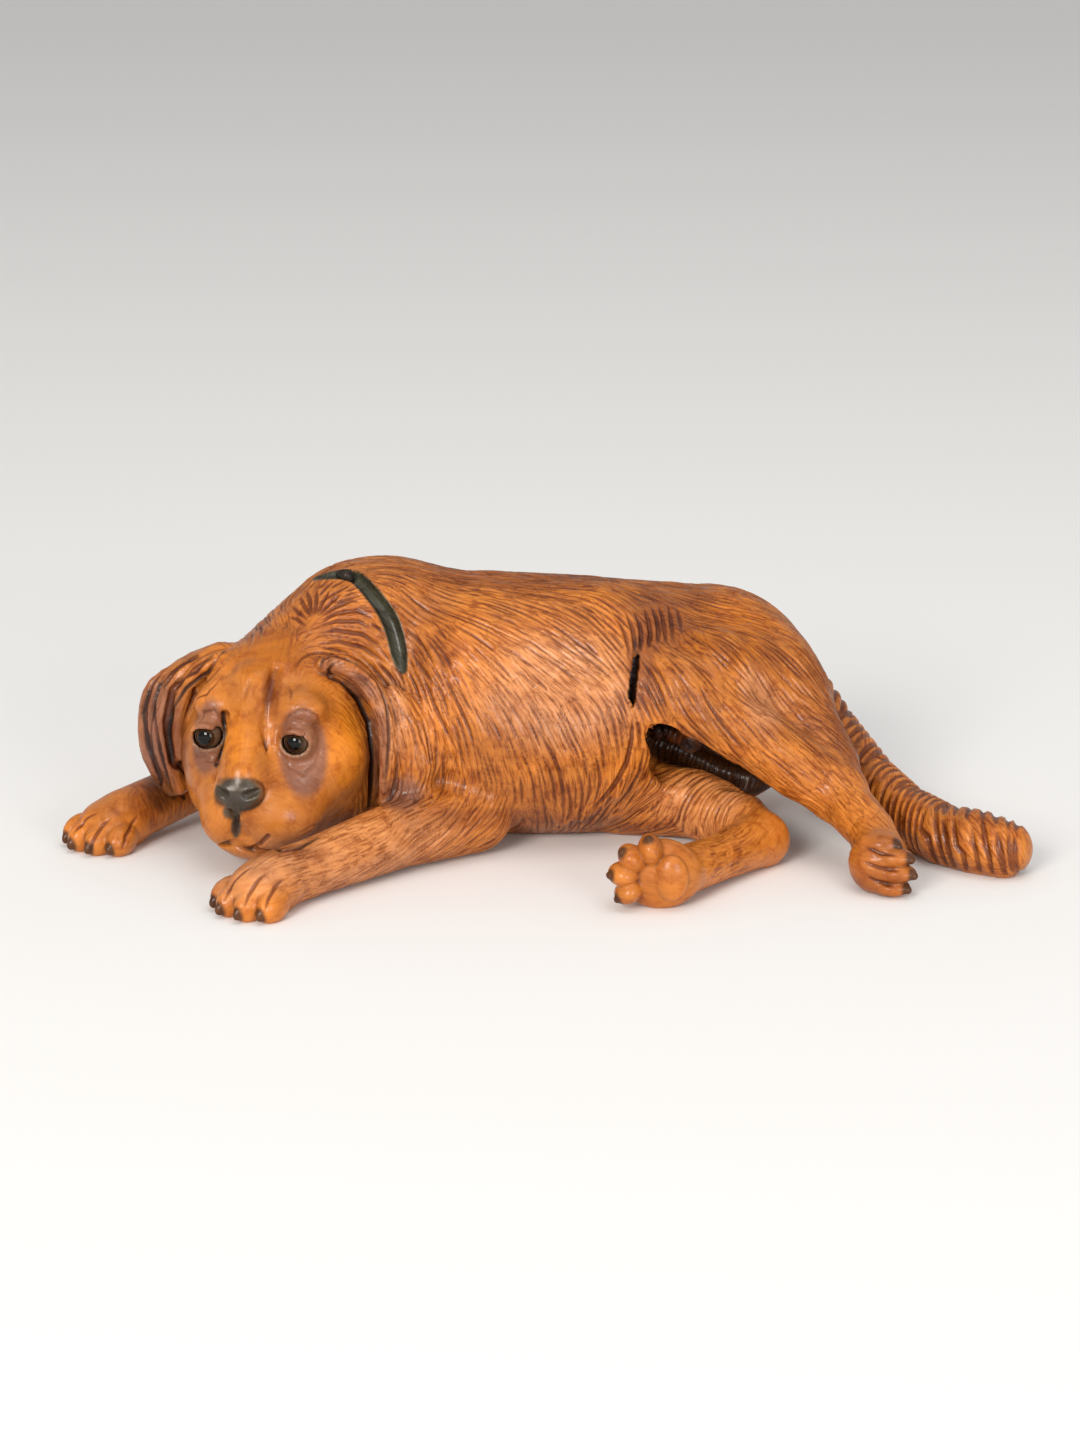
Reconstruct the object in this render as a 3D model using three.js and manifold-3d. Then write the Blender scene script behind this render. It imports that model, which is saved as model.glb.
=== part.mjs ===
// A carved wooden dog lying on its right hip with its chin between its forepaws.
// Two glass eyes are set in the wood.
// Millimetres, +Z up. The dog lies along X, head at -X and tail at +X, and looks towards -Y.
import * as THREE from "three";
import { mergeVertices } from "three/addons/utils/BufferGeometryUtils.js";
import Module from "manifold-3d";

// Driving dimensions, in millimetres.
const LENGTH = 360; // from the far forepaw to the tip of the tail
const EYE_DIAMETER = 10.4; // the glass ball of each eye
const EYE_CLEARANCE = 0.3; // between the glass and its socket

// How finely the surface is worked out, in carver's units, and how many triangles are left.
const CLAY_CELL = 2;
const WOOD_TRIANGLES = 7700;

// The carver's units: the dog is laid out 360 units long, and every form of it is a share of its length.
const UNIT = LENGTH / 360;
const eyeRadius = EYE_DIAMETER / 2 / UNIT;
const socketRadius = eyeRadius + EYE_CLEARANCE / UNIT;
const FAR = 60;
const SAWN = 1; // how much is sawn off underneath, to leave flat places to lie on

const vec = (x, y, z) => new THREE.Vector3(x, y, z);

// A form is a rounded solid given by its distance function and the box round it.

// An ellipsoid with its three radii, turned by yaw about Z, then pitch and roll, in degrees.
function egg(centre, radii, yaw = 0, pitch = 0, roll = 0) {
  const [a, b, c] = [roll, pitch, yaw].map(THREE.MathUtils.degToRad);
  const turn = new THREE.Matrix4().makeRotationFromEuler(new THREE.Euler(a, b, c, "ZYX"));
  const [u, v, w] = [vec(), vec(), vec()];
  turn.extractBasis(u, v, w);
  const [ru, rv, rw] = radii;
  const smallest = Math.min(ru, rv, rw);
  const distance = (x, y, z) => {
    const dx = x - centre.x;
    const dy = y - centre.y;
    const dz = z - centre.z;
    const p = (dx * u.x + dy * u.y + dz * u.z) / ru;
    const q = (dx * v.x + dy * v.y + dz * v.z) / rv;
    const r = (dx * w.x + dy * w.y + dz * w.z) / rw;
    const near = Math.sqrt(p * p + q * q + r * r);
    const slope = Math.sqrt((p / ru) ** 2 + (q / rv) ** 2 + (r / rw) ** 2);
    return near < 1e-4 ? -smallest : (near * (near - 1)) / slope;
  };
  const reach = 2 * Math.max(ru, rv, rw);
  return { distance, box: new THREE.Box3().setFromCenterAndSize(centre, vec(reach, reach, reach)) };
}

// A ball is an egg with equal radii.
const ball = (centre, radius) => egg(centre, [radius, radius, radius]);

// A limb is a rounded rod through points, each written [x, y, z, radius], that swells and thins between them.
function limb(...stations) {
  const box = new THREE.Box3();
  for (const [x, y, z, r] of stations) {
    box.union(new THREE.Box3(vec(x - r, y - r, z - r), vec(x + r, y + r, z + r)));
  }
  const rods = stations.slice(1).map((b, i) => {
    const [ax, ay, az, ar] = stations[i];
    const [dx, dy, dz, dr] = [b[0] - ax, b[1] - ay, b[2] - az, b[3] - ar];
    return { ax, ay, az, ar, dx, dy, dz, dr, square: dx * dx + dy * dy + dz * dz };
  });
  const distance = (x, y, z) => {
    let nearest = 1e9;
    for (const rod of rods) {
      const px = x - rod.ax;
      const py = y - rod.ay;
      const pz = z - rod.az;
      const t = Math.min(1, Math.max(0, (px * rod.dx + py * rod.dy + pz * rod.dz) / rod.square));
      const [qx, qy, qz] = [px - rod.dx * t, py - rod.dy * t, pz - rod.dz * t];
      nearest = Math.min(nearest, Math.sqrt(qx * qx + qy * qy + qz * qz) - rod.ar - rod.dr * t);
    }
    return nearest;
  };
  return { distance, box };
}

// The smaller of two distances, rounded over where they differ by less than blend.
function smoothMin(a, b, blend) {
  const near = blend > 0 ? Math.max(blend - Math.abs(a - b), 0) / blend : 0;
  return Math.min(a, b) - (near * near * blend) / 4;
}

// Clay holds distances on a cubic grid. Forms are added to it and cut from it one after another.
class Clay {
  constructor(box, cell) {
    this.low = box.min;
    this.cell = cell;
    this.count = box.getSize(vec()).divideScalar(cell).ceil().addScalar(1).toArray();
    this.values = new Float32Array(this.count[0] * this.count[1] * this.count[2]).fill(FAR);
  }

  index(i, j, k) {
    return (k * this.count[1] + j) * this.count[0] + i;
  }

  work(form, change) {
    const { low, cell, values } = this;
    const box = form.box.clone().expandByScalar(form.blend + 2 * cell);
    const from = box.min.sub(low).divideScalar(cell).floor().max(vec(0, 0, 0));
    const last = vec(...this.count).subScalar(1);
    const to = box.max.sub(low).divideScalar(cell).ceil().min(last);
    for (let k = from.z; k <= to.z; k++) {
      for (let j = from.y; j <= to.y; j++) {
        for (let i = from.x; i <= to.x; i++) {
          const n = this.index(i, j, k);
          const d = form.distance(low.x + i * cell, low.y + j * cell, low.z + k * cell);
          values[n] = change(values[n], d);
        }
      }
    }
  }

  add(blend, ...forms) {
    for (const form of forms) this.work({ ...form, blend }, (old, d) => smoothMin(old, d, blend));
  }

  cut(blend, ...forms) {
    for (const form of forms) this.work({ ...form, blend }, (old, d) => -smoothMin(-old, d, blend));
  }
}

const SIDES = [1, -1];

// The head has a frame of its own: forward along the muzzle, left and up.
const HEAD = vec(-100, 80, 51);
const HEAD_YAW = THREE.MathUtils.degToRad(14);
const headForward = vec(-Math.sin(HEAD_YAW), -Math.cos(HEAD_YAW), 0);
const headLeft = vec(Math.cos(HEAD_YAW), -Math.sin(HEAD_YAW), 0);
const headTurn = -90 - THREE.MathUtils.radToDeg(HEAD_YAW);
const onHead = (forward, left, up) =>
  HEAD.clone().addScaledVector(headForward, forward).addScaledVector(headLeft, left).add(vec(0, 0, up));
const headEgg = (forward, left, up, radii, yaw = 0, pitch = 0, roll = 0) =>
  egg(onHead(forward, left, up), radii, headTurn + yaw, pitch, roll);
const headLimb = (...stations) =>
  limb(...stations.map(([forward, left, up, radius]) => [...onHead(forward, left, up).toArray(), radius]));
const EYE = { forward: 18.5, left: 17, up: 0.5 };
const eyeCentre = (side) => onHead(EYE.forward, side * EYE.left, EYE.up);

function addTrunk(clay) {
  const back = [
    [-50, 124, 46.5, 42],
    [-20, 119, 50, 50],
    [15, 120, 49, 49],
    [48, 135, 47, 45.2],
    [64, 140, 47, 43.3],
  ];
  clay.add(12, limb(...back));
  clay.add(12, ball(vec(-55, 118, 74.5), 31.5));
  clay.add(10, limb([-70, 111, 76.5, 28.5], [-86, 103, 65.5, 27]));
  clay.add(12, ball(vec(-76, 112, 32), 31));
  // The hollow between the thighs, under the upper one.
  clay.cut(6, egg(vec(66, 98, 30), [32, 22, 13], 10, 20));
}

// The narrow channel of a collar, over the withers and down the shoulder.
function cutCollar(clay) {
  const collar = [
    [-81.5, 118.5, 100, 1.5],
    [-77.5, 114, 102, 2.4],
    [-72.7, 108.5, 102.8, 2.8],
    [-66.7, 99, 100.8, 3],
    [-60.9, 92.5, 96.6, 3],
    [-56.3, 88.4, 91.1, 3],
    [-53.3, 86, 86.1, 2.8],
    [-51.2, 84.6, 79.1, 2.4],
    [-50, 82.6, 73.6, 1.5],
  ];
  clay.cut(1.5, limb(...collar));
}

function addHindquarters(clay) {
  clay.add(9, limb([80, 118, 54, 28], [64, 103, 60, 23], [52, 92, 60, 17]));
  clay.add(8, limb([92, 112, 46, 20], [108, 88, 34, 11], [110, 78, 28, 10]));
  // The slot where the thigh parts from the flank.
  const slot = [
    [39, 88, 79, 1],
    [35.5, 83, 72, 1.8],
    [33.8, 79, 64, 2.4],
    [34, 78.5, 56, 2.6],
    [35.5, 80, 50, 2.2],
  ];
  clay.cut(1.5, limb(...slot));
  // The upper leg, then the lower one.
  clay.add(5, limb([50, 89, 60, 14], [80, 82, 46, 12], [96, 78, 35, 11.5], [110, 74, 26.5, 9.8]));
  clay.add(4, limb([110, 74, 26.5, 9.8], [120.5, 54, 18.5, 8.8], [123, 40, 13.5, 9.2]));
  clay.add(5, limb([34, 112, 15, 15], [58, 102, 15, 13], [73, 86, 13, 12], [81.5, 70, 10.5, 10]));
  clay.add(3, limb([81.5, 70, 10.5, 10], [63, 45, 10.5, 8.5], [51, 27, 12, 9]));
  // The dark hollow behind the slot, the flap of belly skin in front of it and the undercut below.
  clay.cut(2, egg(vec(47, 86, 47), [8.5, 11, 6.5], 0, 20));
  const flap = [
    [35, 79, 58, 1.2],
    [34.3, 77.5, 47, 2.6],
    [32.3, 78, 37, 3.2],
    [27, 80.5, 25.5, 3.2],
    [15.5, 88, 14, 2.4],
  ];
  clay.add(1.5, limb(...flap));
  clay.cut(4, egg(vec(26, 86, 0), [12, 17, 8]));
}

function addForelegs(clay) {
  clay.add(8, egg(vec(-30, 93, 54), [25, 20, 34]), egg(vec(-80, 143, 50), [24, 20, 32]));
  clay.add(5, limb([-26, 85, 17, 16], [-52, 63, 14.5, 12.5], [-80, 33, 12, 10.5], [-94, 19, 11, 10.5]));
  clay.add(5, limb([-98, 158, 24, 16], [-118, 145, 20, 12.5], [-138, 118, 15, 10], [-155, 98, 11.5, 10.5]));
}

// A paw set down at a point of the ground and turned to a heading, with four toes and a claw on each.
function addForepaw(clay, x, y, heading) {
  const turn = THREE.MathUtils.degToRad(heading);
  const at = (forward, across, up) =>
    vec(
      x + Math.cos(turn) * forward - Math.sin(turn) * across,
      y + Math.sin(turn) * forward + Math.cos(turn) * across,
      up,
    );
  clay.add(4, egg(at(0, 0, 9), [13.5, 12, 10.5], heading));
  const toes = [
    [5.5, -11, -12],
    [9.5, -4, -4],
    [9, 4.2, 4],
    [4.5, 10.5, 14],
  ];
  for (const [forward, across, splay] of toes) {
    clay.add(0.8, egg(at(forward, across, 6.5), [8, 4.9, 6.2], heading + splay, 14));
    clay.add(0.4, egg(at(forward + 6.6, across * 1.08, 4.6), [2.6, 1.6, 2.2], heading + splay, 45));
  }
}

// The left hind paw stands on its edge, with its toes one above another.
function addLeftHindPaw(clay) {
  clay.add(4, egg(vec(121.5, 37, 11.5), [10.5, 10, 11], -15));
  const toes = [
    [125.5, 31.5, 4.6],
    [127.5, 30.5, 10.2],
    [126.5, 31.5, 15.8],
    [122, 35.5, 20],
  ];
  for (const [x, y, z] of toes) {
    clay.add(0.9, egg(vec(x, y, z), [7.5, 5.6, 3.5], -20));
    clay.add(0.4, egg(vec(x + 5.4, y - 3.4, z), [2.4, 1.8, 1.7], -35, 15));
  }
}

// The right hind paw lies sole outwards: a big pad and four toes round it.
function addRightHindPaw(clay) {
  clay.add(4, egg(vec(43, 20, 13), [14, 8, 13]));
  const toes = [100, 138, 176, 214];
  for (const degrees of toes) {
    const turn = THREE.MathUtils.degToRad(degrees);
    const around = (reach, rise, y) => vec(41 + reach * Math.cos(turn), y, 13.5 + rise * Math.sin(turn));
    clay.add(0.9, egg(around(11.5, 10, 16), [5.6, 6.5, 4.4], 0, -degrees));
    clay.add(0.4, egg(around(15.4, 13.2, 13.5), [2.4, 1.9, 1.7], 0, -degrees));
  }
  clay.add(0.7, egg(vec(46.5, 13, 13.5), [6, 3.4, 8.5]));
}

function addHead(clay) {
  clay.add(6, headEgg(-9, 0, 6, [27, 31, 26]));
  clay.add(8, headEgg(-2, 1, -10, [25, 35.5, 24]));
  clay.add(6, headLimb([6, 0, -14, 19], [20, 0, -19, 15.5]));
  clay.add(5, headLimb([14, 0, 3, 7.5], [30, 0, -9, 6]));
  for (const s of SIDES) {
    clay.add(8, headEgg(11, s * 14, -20, [14, 13, 14]));
    clay.add(4, headEgg(20, s * 8.5, -27, [13, 10, 12.5]));
  }
  clay.add(4, headEgg(16, 1, -38, [14, 15, 8]));
  clay.add(6, limb([...onHead(2, 6, -26).toArray(), 18], [-72, 104, 26, 20]));
}

function addFace(clay) {
  // The bridge of the nose, the brows and the furrow between them, and the flews.
  clay.add(5, headLimb([10, -2, 18, 7.5], [19, -2.2, 3, 7.3], [30, -1, -12, 7]));
  clay.add(7, headEgg(14, 17, 11.5, [7, 9, 6]), headEgg(13, -16, 11, [6.5, 7.5, 5.5]));
  clay.cut(2.5, headLimb([9.7, 6.4, 24.4, 1], [19.4, 7.2, 16, 1.6], [22.2, 6.2, 6, 1.3], [24, 6.6, -3, 0.6]));
  clay.add(5, headEgg(20, 12, -27, [13, 13, 11]), headEgg(22, -9.5, -29, [9, 8, 9.5]));
  clay.add(0.8, headEgg(34.5, 0, -15.6, [5, 8.2, 6]), headEgg(34, -1, -18, [4, 5.5, 5]));
  // Eye hollows, lids and the almond openings in front of the glass.
  for (const s of SIDES) {
    clay.cut(4, headEgg(26, s * 18.5, -1, [4, 7, 4.5]));
    clay.add(2.5, ball(eyeCentre(s), eyeRadius + 1.6));
    const lid = [
      [21, s * 12.5, 3, 0.8],
      [23.6, s * 15.5, 4.8, 1.1],
      [23.2, s * 18.5, 4.8, 1.1],
      [20.5, s * 22, 2.2, 0.8],
    ];
    clay.add(1.5, headLimb(...lid));
    clay.cut(0.8, headEgg(EYE.forward + 5.4, s * EYE.left, EYE.up - 0.3, [4.5, 5.9, 4.4]));
  }
  // The deep gap between the right eye and the bridge.
  clay.cut(2, headLimb([20, -10.2, 8, 2.2], [21.5, -10, 2, 3.2], [24, -11.2, -7, 2.8], [28, -12, -13, 1.2]));
  // The cleft below the nose and the mouth, which runs back under each flew.
  clay.cut(1.2, headLimb([35, -2.2, -20, 1.3], [34, -2.5, -26, 1.7], [33, -3, -34, 1.7]));
  clay.cut(1.2, headLimb([31, -4.5, -37, 1.5], [29.5, 2, -39, 1.6], [24, 14, -39.5, 1.7], [12, 26, -36, 1]));
  clay.cut(1.2, headLimb([31, -4.5, -37, 1.5], [24, -13, -38, 1.3]));
}

function addEars(clay) {
  // The left ear is a lappet with its front edge rolled outwards, and a channel between roll and cheek.
  clay.add(4, limb([-54, 75, 64, 4], [-48, 75, 52, 8], [-45.5, 74, 39, 8.5], [-48.5, 72, 28, 6.5]));
  const roll = [
    [-79, 74, 76, 3],
    [-71, 72, 76, 4.3],
    [-62, 70.5, 68.5, 4.3],
    [-57, 68.5, 57, 3.8],
    [-56, 68, 42, 3.4],
    [-57.5, 69, 27, 3],
  ];
  clay.add(1.5, limb(...roll));
  const channel = [
    [-77, 70, 73.5, 1],
    [-69.5, 67.5, 69.5, 2.2],
    [-63.2, 66.5, 58, 2.8],
    [-62, 66.5, 44, 3],
    [-62.5, 68, 28, 3],
  ];
  clay.cut(1.2, limb(...channel));
  // The right ear hangs in three pleats, with a channel along the cheek.
  const hanging = [
    [-118, 92, 73, 7],
    [-131, 97, 65, 8],
    [-138, 99, 53, 9],
    [-139, 99, 39, 9],
    [-136, 97, 26, 6],
  ];
  clay.add(3, limb(...hanging));
  const outer = [
    [-131, 95, 70, 3],
    [-142, 95, 62, 4.6],
    [-144.5, 95, 50, 5],
    [-144, 95, 36, 5],
    [-139, 95, 24, 4],
  ];
  const middle = [
    [-122, 91, 75, 3.6],
    [-134.5, 90.5, 66, 4.2],
    [-139.8, 89.5, 53, 4.2],
    [-139.8, 89.5, 40, 4],
    [-136, 90.5, 26, 3.6],
  ];
  const inner = [
    [-112, 85, 76, 4],
    [-122.5, 85, 72.5, 4],
    [-130.5, 86.5, 63, 3.4],
    [-133.5, 87.5, 51, 2.8],
    [-134, 88.5, 38, 2.6],
  ];
  for (const pleat of [outer, middle, inner]) clay.add(0.8, limb(...pleat));
  const cheekSide = [
    [-117, 81, 71, 1.6],
    [-125.5, 82.5, 63.5, 2.4],
    [-129.5, 83.5, 51, 2.8],
    [-129.5, 85, 37, 2.6],
    [-127.5, 87, 24, 2.4],
  ];
  clay.cut(1.2, limb(...cheekSide));
}

function addTail(clay) {
  const tail = [
    [99, 150, 47, 13.5],
    [111, 145.5, 30.5, 13],
    [126, 124, 16, 12.2],
    [137, 99, 12.3, 11],
    [149.5, 73, 11.3, 11.4],
    [160, 63, 11.8, 12],
    [169, 57, 11, 11],
  ];
  clay.add(4, limb(...tail));
}

function carveDog() {
  const clay = new Clay(new THREE.Box3(vec(-196, -26, -8), vec(196, 190, 116)), CLAY_CELL);
  addTrunk(clay);
  addHindquarters(clay);
  addForelegs(clay);
  addForepaw(clay, -98, 14.5, 226);
  addForepaw(clay, -160.5, 93, 228);
  addLeftHindPaw(clay);
  addRightHindPaw(clay);
  addHead(clay);
  addFace(clay);
  addEars(clay);
  addTail(clay);
  cutCollar(clay);
  return clay;
}

// The clay's surface by marching tetrahedra: a flat list of coordinates and one of triangle corners.
// A cell's corners are numbered by bits (1 along x, 2 along y, 4 along z), and it is cut into six tetrahedra.
function surfaceOf(clay) {
  const { values, low, cell } = clay;
  const [across, deep, high] = clay.count;
  const steps = [0, 1, 2, 3, 4, 5, 6, 7].map((c) => clay.index(c & 1, (c >> 1) & 1, c >> 2));
  const tetrahedra = [
    [0, 1, 3, 7],
    [0, 3, 2, 7],
    [0, 2, 6, 7],
    [0, 6, 4, 7],
    [0, 4, 5, 7],
    [0, 5, 1, 7],
  ];
  // For each set of corners inside the wood: the crossed edges, in order round the opening they leave.
  const rings = Array.from({ length: 16 }, (_, mask) => {
    const within = [0, 1, 2, 3].filter((c) => mask & (1 << c));
    const without = [0, 1, 2, 3].filter((c) => !(mask & (1 << c)));
    const order = [...within, ...without];
    const swaps = order.reduce((n, a, at) => n + order.slice(at + 1).filter((b) => b < a).length, 0);
    let ring = [];
    if (within.length === 1) ring = without.map((w) => [within[0], w]);
    if (within.length === 3) ring = within.map((w) => [w, without[0]]);
    if (within.length === 2) ring = [[0, 0], [0, 1], [1, 1], [1, 0]].map(([a, b]) => [within[a], without[b]]);
    return swaps % 2 ? ring.reverse() : ring;
  });
  const points = [];
  const corners = [];
  const known = new Map();
  const crossing = (base, p, q) => {
    const a = Math.min(p, q);
    const b = Math.max(p, q);
    const from = base + steps[a];
    const key = from * 8 + (a ^ b);
    let found = known.get(key);
    if (found === undefined) {
      const value = values[from];
      const share = Math.min(0.96, Math.max(0.04, value / (value - values[base + steps[b]])));
      const bits = a ^ b;
      const i = from % across;
      const j = Math.floor(from / across) % deep;
      const k = Math.floor(from / across / deep);
      points.push(low.x + cell * (i + share * (bits & 1)));
      points.push(low.y + cell * (j + share * ((bits >> 1) & 1)));
      points.push(low.z + cell * (k + share * (bits >> 2)));
      found = points.length / 3 - 1;
      known.set(key, found);
    }
    return found;
  };
  for (let k = 0; k < high - 1; k++) {
    for (let j = 0; j < deep - 1; j++) {
      for (let i = 0; i < across - 1; i++) {
        const base = clay.index(i, j, k);
        let inside = 0;
        for (let c = 0; c < 8; c++) if (values[base + steps[c]] < 0) inside |= 1 << c;
        if (inside === 0 || inside === 255) continue;
        for (const t of tetrahedra) {
          let mask = 0;
          for (let c = 0; c < 4; c++) if (inside & (1 << t[c])) mask |= 1 << c;
          const ring = rings[mask];
          if (!ring.length) continue;
          const [a, b, c, d] = ring.map(([p, q]) => crossing(base, t[p], t[q]));
          corners.push(a, b, c);
          if (ring.length === 4) corners.push(a, c, d);
        }
      }
    }
  }
  return { points, corners };
}

// A heap that gives back the cheapest entry first.
class Heap {
  constructor() {
    this.entries = [];
  }

  push(entry) {
    const e = this.entries;
    let at = e.push(entry) - 1;
    while (at > 0) {
      const up = (at - 1) >> 1;
      if (e[up].cost <= entry.cost) break;
      e[at] = e[up];
      at = up;
    }
    e[at] = entry;
  }

  pop() {
    const e = this.entries;
    const top = e[0];
    const last = e.pop();
    if (!e.length) return top;
    let at = 0;
    for (let next = 1; next < e.length; next = 2 * at + 1) {
      if (next + 1 < e.length && e[next + 1].cost < e[next].cost) next++;
      if (last.cost <= e[next].cost) break;
      e[at] = e[next];
      at = next;
    }
    e[at] = last;
    return top;
  }
}

// Joins the ends of the edges that matter least to the shape until few enough triangles are left.
// Each point carries the sum of its faces' squared plane distances, as the ten numbers of a symmetric matrix.
function simplified({ points, corners }, target) {
  const count = points.length / 3;
  const place = Float64Array.from(points);
  const corner = Int32Array.from(corners);
  const quadric = new Float64Array(count * 10);
  const stamp = new Int32Array(count);
  const faces = Array.from({ length: count }, () => []);
  const normal = [0, 0, 0];
  // The normal of a face, with its point number moved taken as standing at x, y, z.
  const faceNormal = (face, moved, x, y, z) => {
    const p = [];
    for (let c = 0; c < 3; c++) {
      const v = corner[face * 3 + c];
      if (v === moved) p.push(x, y, z);
      else p.push(place[v * 3], place[v * 3 + 1], place[v * 3 + 2]);
    }
    const [ux, uy, uz] = [p[3] - p[0], p[4] - p[1], p[5] - p[2]];
    const [vx, vy, vz] = [p[6] - p[0], p[7] - p[1], p[8] - p[2]];
    normal[0] = uy * vz - uz * vy;
    normal[1] = uz * vx - ux * vz;
    normal[2] = ux * vy - uy * vx;
    return normal;
  };
  for (let face = 0; face < corner.length / 3; face++) {
    const [x, y, z] = faceNormal(face, -1, 0, 0, 0);
    const size = Math.hypot(x, y, z) || 1e-12;
    const v = corner[face * 3];
    const plane = [x / size, y / size, z / size, 0];
    plane[3] = -(plane[0] * place[v * 3] + plane[1] * place[v * 3 + 1] + plane[2] * place[v * 3 + 2]);
    for (let c = 0; c < 3; c++) {
      const at = corner[face * 3 + c];
      faces[at].push(face);
      let n = at * 10;
      for (let i = 0; i < 4; i++) {
        for (let j = i; j < 4; j++) quadric[n++] += (size / 2) * plane[i] * plane[j];
      }
    }
  }
  const q = new Float64Array(10);
  const error = (x, y, z) =>
    q[0] * x * x + q[4] * y * y + q[7] * z * z + 2 * (q[1] * x * y + q[2] * x * z + q[5] * y * z) +
    2 * (q[3] * x + q[6] * y + q[8] * z) + q[9];
  const heap = new Heap();
  const consider = (a, b) => {
    for (let n = 0; n < 10; n++) q[n] = quadric[a * 10 + n] + quadric[b * 10 + n];
    const [ax, ay, az] = [place[a * 3], place[a * 3 + 1], place[a * 3 + 2]];
    const [bx, by, bz] = [place[b * 3], place[b * 3 + 1], place[b * 3 + 2]];
    const span = (ax - bx) ** 2 + (ay - by) ** 2 + (az - bz) ** 2;
    const [mx, my, mz] = [(ax + bx) / 2, (ay + by) / 2, (az + bz) / 2];
    let best = { cost: error(mx, my, mz), x: mx, y: my, z: mz };
    const weigh = (x, y, z) => {
      const cost = error(x, y, z);
      if (cost < best.cost) best = { cost, x, y, z };
    };
    weigh(ax, ay, az);
    weigh(bx, by, bz);
    const c0 = q[4] * q[7] - q[5] * q[5];
    const c1 = q[2] * q[5] - q[1] * q[7];
    const c2 = q[1] * q[5] - q[2] * q[4];
    const determinant = q[0] * c0 + q[1] * c1 + q[2] * c2;
    if (Math.abs(determinant) > 1e-4) {
      const c4 = q[0] * q[7] - q[2] * q[2];
      const c5 = q[1] * q[2] - q[0] * q[5];
      const c8 = q[0] * q[4] - q[1] * q[1];
      const x = -(c0 * q[3] + c1 * q[6] + c2 * q[8]) / determinant;
      const y = -(c1 * q[3] + c4 * q[6] + c5 * q[8]) / determinant;
      const z = -(c2 * q[3] + c5 * q[6] + c8 * q[8]) / determinant;
      if ((x - mx) ** 2 + (y - my) ** 2 + (z - mz) ** 2 < span) weigh(x, y, z);
    }
    heap.push({ ...best, cost: best.cost + 1e-6 * span, a, b, stamps: stamp[a] + stamp[b] });
  };
  const has = (face, v) => corner[face * 3] === v || corner[face * 3 + 1] === v || corner[face * 3 + 2] === v;
  const neighbours = (v) => {
    const found = new Set();
    for (const face of faces[v]) for (let c = 0; c < 3; c++) found.add(corner[face * 3 + c]);
    found.delete(v);
    return found;
  };
  const turned = (v, other, { x, y, z }) =>
    faces[v].some((face) => {
      if (has(face, other)) return false;
      const [bx, by, bz] = faceNormal(face, -1, 0, 0, 0);
      const [cx, cy, cz] = faceNormal(face, v, x, y, z);
      const after = Math.hypot(cx, cy, cz);
      return bx * cx + by * cy + bz * cz < 0.25 * Math.hypot(bx, by, bz) * after || after < 1e-3;
    });
  for (let n = 0; n < corner.length; n += 3) {
    for (let c = 0; c < 3; c++) {
      const [a, b] = [corner[n + c], corner[n + ((c + 1) % 3)]];
      if (a < b) consider(a, b);
    }
  }
  let left = corner.length / 3;
  while (left > target && heap.entries.length) {
    const join = heap.pop();
    const { a, b } = join;
    if (!faces[a].length || !faces[b].length || stamp[a] + stamp[b] !== join.stamps) continue;
    const around = neighbours(b);
    let shared = 0;
    for (const v of neighbours(a)) if (around.has(v)) shared++;
    if (shared !== 2 || turned(a, b, join) || turned(b, a, join)) continue;
    for (const face of faces[b]) {
      if (has(face, a)) {
        for (let c = 0; c < 3; c++) {
          const v = corner[face * 3 + c];
          if (v !== b) faces[v] = faces[v].filter((f) => f !== face);
        }
        corner.fill(-1, face * 3, face * 3 + 3);
        left--;
      } else {
        for (let c = 0; c < 3; c++) if (corner[face * 3 + c] === b) corner[face * 3 + c] = a;
        faces[a].push(face);
      }
    }
    faces[b] = [];
    place.set([join.x, join.y, join.z], a * 3);
    for (let n = 0; n < 10; n++) quadric[a * 10 + n] += quadric[b * 10 + n];
    // A joined point's stamp is above both old ones, so that an outdated entry never fits again.
    stamp[a] = stamp[a] + stamp[b] + 1;
    for (const v of neighbours(a)) consider(a, v);
  }
  return { points: place, corners: corner.filter((v) => v >= 0) };
}

const wasm = await Module();
wasm.setup();

// A closed three.js geometry as a manifold-3d solid, for cutting and joining.
function solidOf(geometry) {
  const bare = geometry.clone();
  for (const name of ["normal", "uv"]) bare.deleteAttribute(name);
  const merged = mergeVertices(bare, 1e-4);
  return new wasm.Manifold(
    new wasm.Mesh({
      numProp: 3,
      vertProperties: merged.attributes.position.array,
      triVerts: new Uint32Array(merged.index.array),
    }),
  );
}

function geometryOf(solid) {
  const mesh = solid.getMesh();
  return new THREE.BufferGeometry()
    .setAttribute("position", new THREE.BufferAttribute(mesh.vertProperties, 3))
    .setIndex(new THREE.BufferAttribute(mesh.triVerts, 1));
}

function clayGeometry(clay) {
  const { points, corners } = simplified(surfaceOf(clay), WOOD_TRIANGLES);
  return new THREE.BufferGeometry()
    .setAttribute("position", new THREE.Float32BufferAttribute(points, 3))
    .setIndex(Array.from(corners));
}

const eyeballAt = (side, radius) =>
  new THREE.SphereGeometry(radius, 18, 12).rotateX(Math.PI / 2).translate(...eyeCentre(side).toArray());

// The wood: the carved surface, sawn flat underneath, with a round socket for each eye.
function woodGeometry() {
  const size = 1000;
  const underneath = new THREE.BoxGeometry(size, size, size).translate(0, 0, SAWN - size / 2);
  let wood = solidOf(clayGeometry(carveDog())).subtract(solidOf(underneath));
  for (const s of SIDES) wood = wood.subtract(solidOf(eyeballAt(s, socketRadius)));
  return geometryOf(wood);
}

const wood = new THREE.MeshStandardMaterial({ color: 0xb5662c, roughness: 0.45, metalness: 0 });
const glass = new THREE.MeshStandardMaterial({ color: 0x120d0a, roughness: 0.05, metalness: 0 });

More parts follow.
